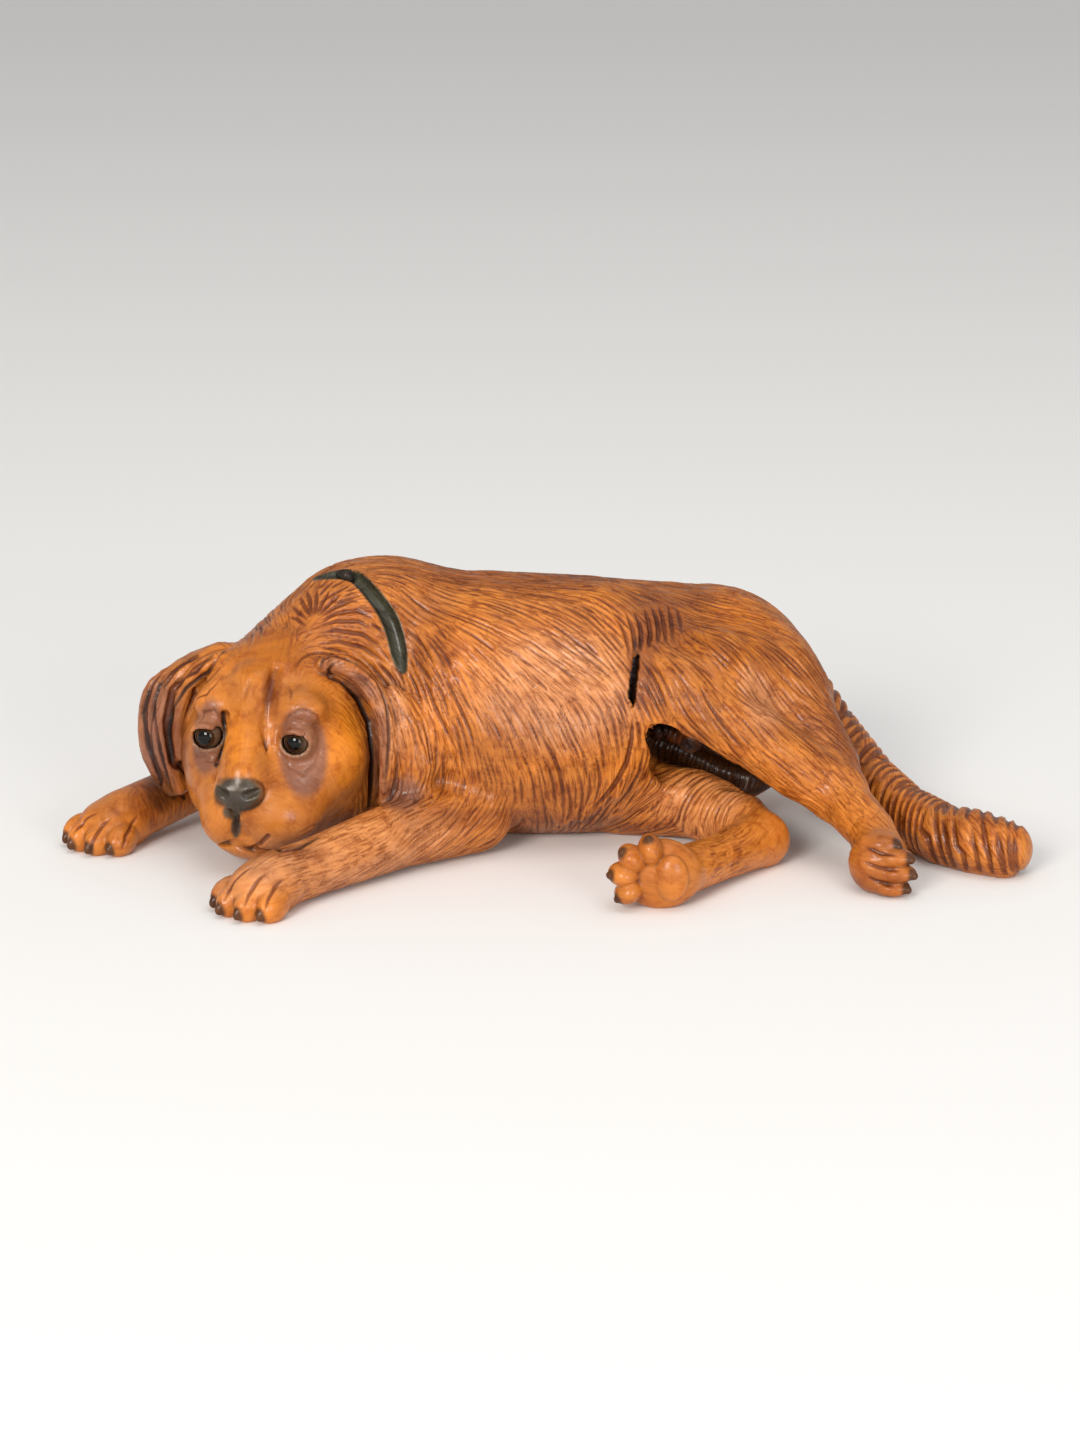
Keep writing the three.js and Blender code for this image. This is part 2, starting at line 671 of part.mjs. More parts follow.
function part(name, geometry, material) {
  const mesh = new THREE.Mesh(geometry.scale(UNIT, UNIT, UNIT), material);
  mesh.name = name;
  return mesh;
}

const dog = new THREE.Group();
dog.add(part("carved_dog", woodGeometry(), wood));
dog.add(part("left_eye", eyeballAt(1, eyeRadius), glass));
dog.add(part("right_eye", eyeballAt(-1, eyeRadius), glass));

// The origin is under the middle of the dog, on what it lies on.
const bounds = new THREE.Box3().setFromObject(dog);
const middle = bounds.getCenter(vec());
dog.position.set(-middle.x, -middle.y, -bounds.min.z);

export default dog;
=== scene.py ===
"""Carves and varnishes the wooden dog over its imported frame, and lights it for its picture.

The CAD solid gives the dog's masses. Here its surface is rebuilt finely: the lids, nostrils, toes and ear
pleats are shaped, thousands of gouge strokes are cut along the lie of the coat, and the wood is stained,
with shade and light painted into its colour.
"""
import logging
import math
from dataclasses import dataclass, field
from enum import Enum
from typing import Iterable, Sequence

import bpy
import numpy as np
from mathutils import Euler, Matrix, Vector
from mathutils.kdtree import KDTree


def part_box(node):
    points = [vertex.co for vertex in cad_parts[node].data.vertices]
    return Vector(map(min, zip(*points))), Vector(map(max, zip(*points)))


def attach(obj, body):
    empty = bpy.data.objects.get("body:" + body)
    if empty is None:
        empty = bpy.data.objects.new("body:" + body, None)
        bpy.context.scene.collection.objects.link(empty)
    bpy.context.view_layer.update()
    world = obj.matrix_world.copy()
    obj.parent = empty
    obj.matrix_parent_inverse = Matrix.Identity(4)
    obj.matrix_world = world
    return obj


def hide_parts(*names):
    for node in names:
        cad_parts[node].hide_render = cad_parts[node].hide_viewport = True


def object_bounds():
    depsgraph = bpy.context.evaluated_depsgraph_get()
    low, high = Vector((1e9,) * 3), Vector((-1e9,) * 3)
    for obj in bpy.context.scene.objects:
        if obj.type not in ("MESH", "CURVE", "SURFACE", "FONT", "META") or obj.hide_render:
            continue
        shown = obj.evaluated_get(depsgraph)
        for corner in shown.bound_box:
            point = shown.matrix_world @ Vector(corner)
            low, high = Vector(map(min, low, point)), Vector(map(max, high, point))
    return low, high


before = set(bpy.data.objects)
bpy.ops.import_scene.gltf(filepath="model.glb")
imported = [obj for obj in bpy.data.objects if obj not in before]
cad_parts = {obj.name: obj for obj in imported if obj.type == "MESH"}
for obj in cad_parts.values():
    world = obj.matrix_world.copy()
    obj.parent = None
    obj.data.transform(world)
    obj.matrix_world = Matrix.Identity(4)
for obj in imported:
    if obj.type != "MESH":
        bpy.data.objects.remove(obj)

log = logging.getLogger("carved_dog")

CAD_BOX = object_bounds()
IMAGE_SIZE = (1080, 1435)  # the photograph's frame, in pixels
LEFT, RIGHT = 1, -1
SIDES = (LEFT, RIGHT)

# Everything below is in carver's units: the dog is laid out 360 units long, as in its CAD model.
HEAD_CENTRE = np.array([-100.0, 80.0, 51.0])
HEAD_YAW = math.radians(14)
EYE_FORWARD, EYE_LEFT, EYE_UP = 18.5, 17.0, 0.5
SAWN = 1.0  # the height of the flat underside
EYE_CLEARANCE = 0.3  # the air round each glass eye
BOX_MARGIN = 0.06  # how far the carving stays inside the CAD box
FAR = 60.0  # the distance of a point that no form is near
GAZE = (-math.sin(HEAD_YAW), -math.cos(HEAD_YAW), 0.0)  # the way the head points

Points = np.ndarray
Station = Sequence[float]


def head_point(forward: float, left: float, up: float) -> np.ndarray:
    """Turns a place on the head into the dog's own coordinates.

    Args:
        forward: Distance along the muzzle from the head's centre.
        left: Distance towards the dog's left.
        up: Distance upwards.

    Returns:
        The point, in carver's units.
    """
    ahead = np.array(GAZE)
    aside = np.array([math.cos(HEAD_YAW), -math.sin(HEAD_YAW), 0.0])
    return HEAD_CENTRE + forward * ahead + left * aside + np.array([0.0, 0.0, up])


def eye_centre(side: int) -> np.ndarray:
    """Gives the middle of an eye.

    Args:
        side: LEFT or RIGHT.

    Returns:
        The point, in carver's units.
    """
    return head_point(EYE_FORWARD, side * EYE_LEFT, EYE_UP)


def search_tree(points: Points) -> KDTree:
    """Indexes points for quick searches.

    Args:
        points: The points, one in each row.

    Returns:
        The index, in which each point has the number of its row.
    """
    tree = KDTree(len(points))
    for index, point in enumerate(points):
        tree.insert(point, index)
    tree.balance()
    return tree


class Layout:
    """Places carver's units in the row frame, by the two glass eyes."""

    def __init__(self) -> None:
        """Measures the scale and the shift from the eyes' boxes."""
        centres = {}
        for side, node in ((LEFT, "left_eye"), (RIGHT, "right_eye")):
            low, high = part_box(node)
            centres[side] = np.array((low + high) / 2)
            self.eye_radius_m = (high.x - low.x) / 2
        apart = np.linalg.norm(centres[LEFT] - centres[RIGHT])
        self.unit = float(apart / (2 * EYE_LEFT))
        self.shift = centres[LEFT] - self.unit * eye_centre(LEFT)
        self.eye_radius = self.eye_radius_m / self.unit

    def metres(self, points: Points) -> Points:
        """Turns carver's units into metres in the row frame.

        Args:
            points: One point or many, in carver's units.

        Returns:
            The same points in metres.
        """
        return np.asarray(points) * self.unit + self.shift

    def units(self, points: Points) -> Points:
        """Turns metres in the row frame into carver's units.

        Args:
            points: One point or many, in metres.

        Returns:
            The same points in carver's units.
        """
        return (np.asarray(points) - self.shift) / self.unit


class Form:
    """A rounded solid, given by its distance function and the box round it."""

    low: np.ndarray
    high: np.ndarray

    def distance(self, points: Points) -> np.ndarray:
        """Measures points against the form.

        Args:
            points: Points, one in each row.

        Returns:
            The distance of each point, negative inside.
        """
        raise NotImplementedError


class Egg(Form):
    """An ellipsoid turned by yaw about Z, then pitch and roll."""

    def __init__(
        self, centre: Station, radii: Station, yaw: float = 0, pitch: float = 0, roll: float = 0
    ) -> None:
        """Sets the ellipsoid up.

        Args:
            centre: Its centre.
            radii: Its three radii, along its own axes.
            yaw: Turn about Z, in degrees.
            pitch: Turn about its own Y, in degrees.
            roll: Turn about its own X, in degrees.
        """
        self.centre = np.asarray(centre, float)
        self.radii = np.asarray(radii, float)
        angles = (math.radians(roll), math.radians(pitch), math.radians(yaw))
        self.turn = np.array(Euler(angles, "XYZ").to_matrix())
        reach = self.radii.max()
        self.low, self.high = self.centre - reach, self.centre + reach

    def distance(self, points: Points) -> np.ndarray:
        """See Form.distance."""
        local = (points - self.centre) @ self.turn / self.radii
        near = np.linalg.norm(local, axis=1) + 1e-6
        slope = np.linalg.norm(local / self.radii, axis=1) + 1e-9
        return near * (near - 1) / slope


class Limb(Form):
    """A rounded rod through stations x, y, z, radius, that swells and thins between them."""

    def __init__(self, *stations: Station) -> None:
        """Sets the rod up.

        Args:
            *stations: Points with their radii, each x, y, z, radius.
        """
        rows = np.array(stations, float)
        self.ends, self.radii = rows[:, :3], rows[:, 3]
        self.low = (self.ends - self.radii[:, None]).min(0)
        self.high = (self.ends + self.radii[:, None]).max(0)

    def distance(self, points: Points) -> np.ndarray:
        """See Form.distance."""
        nearest = np.full(len(points), 1e9)
        for a, b, ra, rb in zip(self.ends, self.ends[1:], self.radii, self.radii[1:]):
            along = b - a
            t = np.clip((points - a) @ along / (along @ along), 0, 1)
            gap = np.linalg.norm(points - a - t[:, None] * along, axis=1) - ra - (rb - ra) * t
            nearest = np.minimum(nearest, gap)
        return nearest


def ball(centre: Station, radius: float) -> Egg:
    """Makes an egg with equal radii.

    Args:
        centre: The ball's centre.
        radius: Its radius.

    Returns:
        The ball.
    """
    return Egg(centre, (radius, radius, radius))


def head_egg(
    forward: float, left: float, up: float, radii: Station,
    yaw: float = 0, pitch: float = 0, roll: float = 0,
) -> Egg:
    """Makes an egg in the head's own frame, its first axis along the muzzle.

    Args:
        forward: Place along the muzzle.
        left: Place towards the dog's left.
        up: Height over the head's centre.
        radii: The egg's radii.
        yaw: Turn about Z, in degrees, from the muzzle's line.
        pitch: Turn about its own Y, in degrees.
        roll: Turn about its own X, in degrees.

    Returns:
        The egg, in the dog's coordinates.
    """
    return Egg(head_point(forward, left, up), radii, -90 - math.degrees(HEAD_YAW) + yaw, pitch, roll)


def head_limb(*stations: Station) -> Limb:
    """Makes a limb in the head's own frame.

    Args:
        *stations: Points with their radii, each forward, left, up, radius.

    Returns:
        The limb, in the dog's coordinates.
    """
    return Limb(*[(*head_point(f, l, u), r) for f, l, u, r in stations])


def curved_limb(*stations: Station) -> Limb:
    """Makes a limb that runs smoothly through its stations.

    Args:
        *stations: Points on the limb with their radii.

    Returns:
        The limb, with three short rods from station to station.
    """
    knots = np.array([stations[0], *stations, stations[-1]], float)
    path = [stations[0]]
    for before, a, b, after in zip(knots, knots[1:], knots[2:], knots[3:]):
        for t in (1 / 3, 2 / 3, 1.0):
            bend = (2 * before - 5 * a + 4 * b - after) * t**2 + (3 * a - before - 3 * b + after) * t**3
            path.append(tuple((2 * a + (b - before) * t + bend) / 2))
    return Limb(*path)


@dataclass
class Clay:
    """Forms added to and cut from one another, in order, with their corners rounded over."""

    REACH = 4.0  # how far beyond its box a form is still measured

    steps: list[tuple[int, float, Form]] = field(default_factory=list)

    def add(self, blend: float, *forms: Form) -> None:
        """Adds forms.

        Args:
            blend: How widely each joint is rounded.
            *forms: The forms to add.
        """
        self.steps += [(1, blend, form) for form in forms]

    def cut(self, blend: float, *forms: Form) -> None:
        """Cuts forms away.

        Args:
            blend: How widely each edge is rounded.
            *forms: The forms to cut away.
        """
        self.steps += [(-1, blend, form) for form in forms]

    def value(self, points: Points) -> np.ndarray:
        """Measures points against the clay.

        Args:
            points: Points, one in each row.

        Returns:
            The distance of each point to the surface, negative inside.
        """
        value = np.full(len(points), FAR)
        for sign, blend, form in self.steps:
            reach = blend + self.REACH
            near = ((points > form.low - reach) & (points < form.high + reach)).all(1).nonzero()[0]
            if not len(near):
                continue
            old = value[near] * sign
            new = form.distance(points[near])
            round_over = np.maximum(blend - np.abs(old - new), 0)
            value[near] = sign * (np.minimum(old, new) - round_over**2 / (4 * max(blend, 1e-6)))
        return value


class DogForms:
    """The dog's masses and its finer carving, as clay."""

    def __init__(self, eye_radius: float) -> None:
        """Lays the forms out.

        Args:
            eye_radius: The radius of the glass eyes.
        """
        self.eye_radius = eye_radius
        self.clay = Clay()
        self.claws: list[Form] = []
        self.add_trunk()
        self.add_hindquarters()
        self.add_forelegs()
        self.add_forepaw(-98, 14.5, 226)
        self.add_forepaw(-160.5, 93, 228)
        self.add_left_hind_paw()
        self.add_right_hind_paw()
        self.add_head()
        self.add_face()
        self.add_ears()
        self.add_tail()
        self.saw_and_drill()

    def add_trunk(self) -> None:
        """Adds the chest, belly, rump, withers and neck."""
        clay = self.clay
        clay.add(12, Limb(
            (-50, 124, 46.5, 42), (-20, 119, 50, 50), (15, 120, 49, 49),
            (48, 135, 47, 45.2), (64, 140, 47, 43.3),
        ))
        clay.add(12, ball((-55, 118, 74.5), 31.5))
        clay.add(10, Limb((-70, 111, 76.5, 28.5), (-86, 103, 65.5, 27)))
        clay.add(12, ball((-76, 112, 32), 31))
        clay.cut(6, Egg((66, 98, 30), (32, 22, 13), 10, 20))

    def add_hindquarters(self) -> None:
        """Adds both hind legs, with the slot before the hip and the hollow between thigh and lower leg."""
        clay = self.clay
        clay.add(9, Limb((80, 118, 54, 28), (64, 103, 60, 23), (52, 92, 60, 17)))
        clay.add(8, Limb((92, 112, 46, 20), (108, 88, 34, 11), (110, 78, 28, 10)))
        self.slot = curved_limb(
            (36, 91.5, 81, 0.6), (34.4, 84.5, 72, 2.1), (33, 80.5, 64, 2.5),
            (32.9, 79.8, 56, 2.7), (33.8, 80.5, 50, 2.5),
        )
        self.hollow = Limb((42, 104, 47, 12), (60, 118, 36, 15), (78, 122, 28, 15), (98, 120, 24, 12))
        clay.cut(1.2, self.slot)
        clay.add(5, Limb((50, 89, 60, 14), (80, 82, 46, 12), (96, 78, 35, 11.5), (110, 74, 26.5, 9.8)))
        clay.add(4, Limb((110, 74, 26.5, 9.8), (120.5, 54, 18.5, 8.8), (123, 40, 13.5, 9.2)))
        clay.add(5, Limb((34, 112, 15, 15), (58, 102, 15, 13), (73, 86, 13, 12), (81.5, 70, 10.5, 10)))
        clay.add(3, Limb((81.5, 70, 10.5, 10), (63, 45, 10.5, 8.5), (51, 27, 12, 9)))
        clay.cut(
            2,
            Egg((46, 86, 47.5), (9.5, 12, 7), 0, 20),
            Limb((45, 85, 45.5, 7), (54, 85.5, 43.6, 8.5), (64, 87, 38, 8.8), (78, 91, 29, 8)),
            Limb((48, 101, 46, 8), (62, 104, 41, 9), (78, 106, 31, 8)),
        )
        clay.add(1.5, Limb(
            (35, 79, 58, 1.2), (34.3, 77.5, 47, 2.6), (32.3, 78, 37, 3.2),
            (27, 80.5, 25.5, 3.2), (15.5, 88, 14, 2.4),
        ))
        clay.cut(4, Egg((26, 86, 0), (12, 17, 8)))

    def add_forelegs(self) -> None:
        """Adds the shoulders and forearms."""
        clay = self.clay
        clay.add(8, Egg((-30, 93, 54), (25, 20, 34)), Egg((-80, 143, 50), (24, 20, 32)))
        clay.add(
            5,
            Limb((-26, 85, 17, 16), (-52, 63, 14.5, 12.5), (-80, 33, 12, 10.5), (-94, 19, 11, 10.5)),
            Limb((-98, 158, 24, 16), (-118, 145, 20, 12.5), (-138, 118, 15, 10), (-155, 98, 11.5, 10.5)),
        )

    def add_forepaw(self, x: float, y: float, heading: float) -> None:
        """Adds a forepaw with four toes and a claw on each.

        Args:
            x: Place of the paw's middle.
            y: Place of the paw's middle.
            heading: The way the paw points, in degrees from +X.
        """
        turn = math.radians(heading)
        ahead = np.array([math.cos(turn), math.sin(turn), 0.0])
        aside = np.array([-math.sin(turn), math.cos(turn), 0.0])

        def at(forward: float, across: float, up: float) -> np.ndarray:
            """Turns a place on the paw into the dog's own coordinates."""
            return np.array([x, y, up]) + forward * ahead + across * aside

        self.clay.add(4, Egg(at(0, 0, 9), (13.5, 12, 10.5), heading))
        toes = ((5.5, -11, -12), (9.5, -4, -4), (9, 4.2, 4), (4.5, 10.5, 14))
        for forward, across, splay in toes:
            self.clay.add(0.8, Egg(at(forward, across, 6.5), (8, 4.9, 6.2), heading + splay, 14))
            self.add_claw(at(forward + 6.6, across * 1.08, 4.6), (2.6, 1.6, 2.2), heading + splay, 45)

    def add_claw(self, place: Station, radii: Station, yaw: float, pitch: float) -> None:
        """Adds one claw.

        Args:
            place: Its middle.
            radii: Its radii.
            yaw: The way it points, in degrees from +X.
            pitch: How far it dips, in degrees.
        """
        claw = Egg(place, radii, yaw, pitch)
        self.claws.append(claw)
        self.clay.add(0.4, claw)

    def add_left_hind_paw(self) -> None:
        """Adds the upper hind paw, which stands on its edge."""
        self.clay.add(4, Egg((121.5, 37, 11.5), (10.5, 10, 11), -15))
        for x, y, z in ((125.5, 31.5, 4.6), (127.5, 30.5, 10.2), (126.5, 31.5, 15.8), (122, 35.5, 20)):
            self.clay.add(0.9, Egg((x, y, z), (7.5, 5.6, 3.5), -20))
            self.add_claw((x + 5.4, y - 3.4, z), (2.4, 1.8, 1.7), -35, 15)

    def add_right_hind_paw(self) -> None:
        """Adds the lower hind paw, sole outwards, with its pads."""
        self.clay.add(4, Egg((43, 20, 13), (14, 8, 13)))
        for degrees in (100, 138, 176, 214):
            turn = math.radians(degrees)
            at = (41 + 11.5 * math.cos(turn), 16, 13.5 + 10 * math.sin(turn))
            self.clay.add(0.9, Egg(at, (5.6, 6.5, 4.4), 0, -degrees))
            tip = (41 + 15.4 * math.cos(turn), 13.5, 13.5 + 13.2 * math.sin(turn))
            self.add_claw(tip, (2.4, 1.9, 1.7), 0, -degrees)
        self.clay.add(0.7, Egg((46.5, 13, 13.5), (6, 3.4, 8.5)))

    def add_head(self) -> None:
        """Adds the skull, cheeks, muzzle and throat."""
        clay = self.clay
        clay.add(6, head_egg(-9, 0, 6, (27, 31, 26)))
        clay.add(8, head_egg(-2, 1, -10, (25, 35.5, 24)))
        clay.add(6, head_limb((6, 0, -14, 19), (20, 0, -19, 15.5)))
        clay.add(5, head_limb((14, 0, 3, 7.5), (30, 0, -9, 6)))
        for s in SIDES:
            clay.add(8, head_egg(11, s * 14, -20, (14, 13, 14)))
            clay.add(4, head_egg(20, s * 8.5, -27, (13, 10, 12.5)))
        clay.add(4, head_egg(16, 1, -38, (14, 15, 8)))
        clay.add(6, Limb((*head_point(2, 6, -26), 18), (-72, 104, 26, 20)))

    def add_face(self) -> None:
        """Adds the brows, furrow, nose, eyes and mouth."""
        clay = self.clay
        clay.add(5, head_limb((10, -2, 18, 7.5), (19, -2.2, 3, 7.3), (30, -1, -12, 7)))
        clay.add(7, head_egg(14, 17, 11.5, (7, 9, 6)), head_egg(13, -16, 11, (6.5, 7.5, 5.5)))
        clay.cut(2.5, head_limb(
            (9.7, 6.4, 24.4, 1), (19.4, 7.2, 16, 1.6), (22.2, 6.2, 6, 1.3), (24, 6.6, -3, 0.6),
        ))
        clay.add(5, head_egg(20, 12, -27, (13, 13, 11)), head_egg(22, -9.5, -29, (9, 8, 9.5)))
        self.nose = head_egg(34.5, 0, -15.6, (5, 8.2, 6))
        clay.add(1.5, self.nose, *(head_egg(35.2, s * 4.4, -15, (4.4, 4.6, 4.4)) for s in SIDES))
        clay.add(1, head_egg(34, -1.5, -19, (4, 4.5, 5.5)))
        for s in SIDES:
            clay.cut(4, head_egg(26, s * 18.5, -1, (4, 7, 4.5)))
            clay.add(2.5, ball(eye_centre(s), self.eye_radius + 1.6))
            clay.add(1.5, head_limb(
                (21, s * 12.5, 3, 0.8), (23.6, s * 15.5, 4.8, 1.1),
                (23.2, s * 18.5, 4.8, 1.1), (20.5, s * 22, 2.2, 0.8),
            ))
            clay.cut(0.6, head_egg(EYE_FORWARD + 5.6, s * EYE_LEFT, EYE_UP - 0.3, (5, 5.7, 4)))
        clay.cut(2, head_limb(
            (20, -10.2, 8, 2.2), (21.5, -10, 2, 3.2), (24, -11.2, -7, 2.8), (28, -12, -13, 1.2),
        ))
        clay.cut(
            1.2,
            head_limb((35, -2.2, -20, 1.3), (34, -2.5, -26, 1.7), (33, -3, -34, 1.7)),
            head_limb((31, -4.5, -37, 1.5), (29.5, 2, -39, 1.6), (24, 14, -39.5, 1.7), (12, 26, -36, 1)),
            head_limb((31, -4.5, -37, 1.5), (24, -13, -38, 1.3)),
        )
        for s in SIDES:
            clay.cut(0.8, head_limb((39.4, s * 4, -15.4, 1.6), (37, s * 8, -13.8, 1.1)))

    def add_ears(self) -> None:
        """Adds the hanging ears with their folds."""
        clay = self.clay
        clay.add(4, Limb((-54, 75, 64, 4), (-48, 75, 52, 8), (-45.5, 74, 39, 8.5), (-48.5, 72, 28, 6.5)))
        clay.add(1.5, curved_limb(
            (-79, 74, 76, 3), (-71, 72, 76, 4.3), (-62, 70.5, 68.5, 4.3),
            (-57, 68.5, 57, 3.8), (-56, 68, 42, 3.4), (-57.5, 69, 27, 3),
        ))
        clay.cut(1.2, curved_limb(
            (-77, 70, 73.5, 1), (-69.5, 68.5, 69, 2.4), (-63.4, 67.8, 58, 3),
            (-62.2, 68, 44, 3.4), (-62.5, 69, 28, 3.4),
        ))
        for blend, *stations in (
            (3, (-118, 92, 73, 7), (-131, 97, 65, 8), (-138, 99, 53, 9), (-139, 99, 39, 9),
             (-136, 97, 26, 6)),
            (1.2, (-131, 95, 70, 3), (-142, 95, 62, 4.4), (-145, 95, 50, 5), (-144, 95, 36, 5),
             (-138, 95, 24, 4)),
            (1, (-120, 91, 76, 3.2), (-134, 90.5, 67, 4), (-140, 89.5, 53, 4.2), (-140, 89.5, 40, 4),
             (-135, 90.5, 25, 3.4)),
            (1, (-110, 85, 76, 3.6), (-122.5, 85, 72.5, 3.8), (-130.5, 86.5, 63, 3.4), (-133.8, 87.5, 51, 3),
             (-134, 88.5, 38, 2.6)),
        ):
            clay.add(blend, curved_limb(*stations))
        clay.cut(1.2, curved_limb(
            (-117, 81, 71, 1.6), (-125.5, 82.5, 63.5, 2.4), (-129.5, 83.5, 51, 2.8),
            (-129.5, 85, 37, 2.8), (-127.5, 87, 24, 2.6),
        ))

    def add_tail(self) -> None:
        """Adds the tail."""
        self.tail = Limb(
            (99, 150, 47, 13.5), (111, 145.5, 30.5, 13), (126, 124, 16, 12.2), (137, 99, 12.3, 11),
            (149.5, 73, 11.3, 11.4), (160, 63, 11.8, 12), (169, 57, 11, 11),
        )
        self.clay.add(4, self.tail)

    def saw_and_drill(self) -> None:
        """Cuts the collar's channel and the round sockets for the eyes."""
        self.collar = curved_limb(
            (-84.1, 106, 101.8, 1), (-78.4, 103.5, 103.2, 2.1), (-72.9, 101.5, 103.8, 2.6),
            (-67.9, 99.5, 101.8, 2.8), (-62.5, 94, 97.6, 2.9), (-58.7, 91, 93.6, 2.9), (-55.3, 88, 89, 2.9),
            (-53.1, 85.7, 83.1, 2.7), (-51.6, 83.4, 77, 2.4), (-50.8, 81, 72.6, 1.4),
        )
        self.clay.cut(0.8, self.collar)
        for s in SIDES:
            self.clay.cut(0.05, ball(eye_centre(s), self.eye_radius + EYE_CLEARANCE))


class Lie(Enum):
    """How deeply and coarsely a stretch of coat is cut: depth, width and length of its strokes."""

    SMOOTH = (0.06, 1.4, 10.0)
    FINE = (0.55, 1.6, 28.0)
    COAT = (0.85, 1.8, 36.0)
    LOCKS = (1.20, 2.2, 40.0)
    PLEATS = (0.35, 1.7, 34.0)


@dataclass(frozen=True)
class Guide:
    """The lie of the coat at one place."""

    place: Station
    along: Station
    lie: Lie


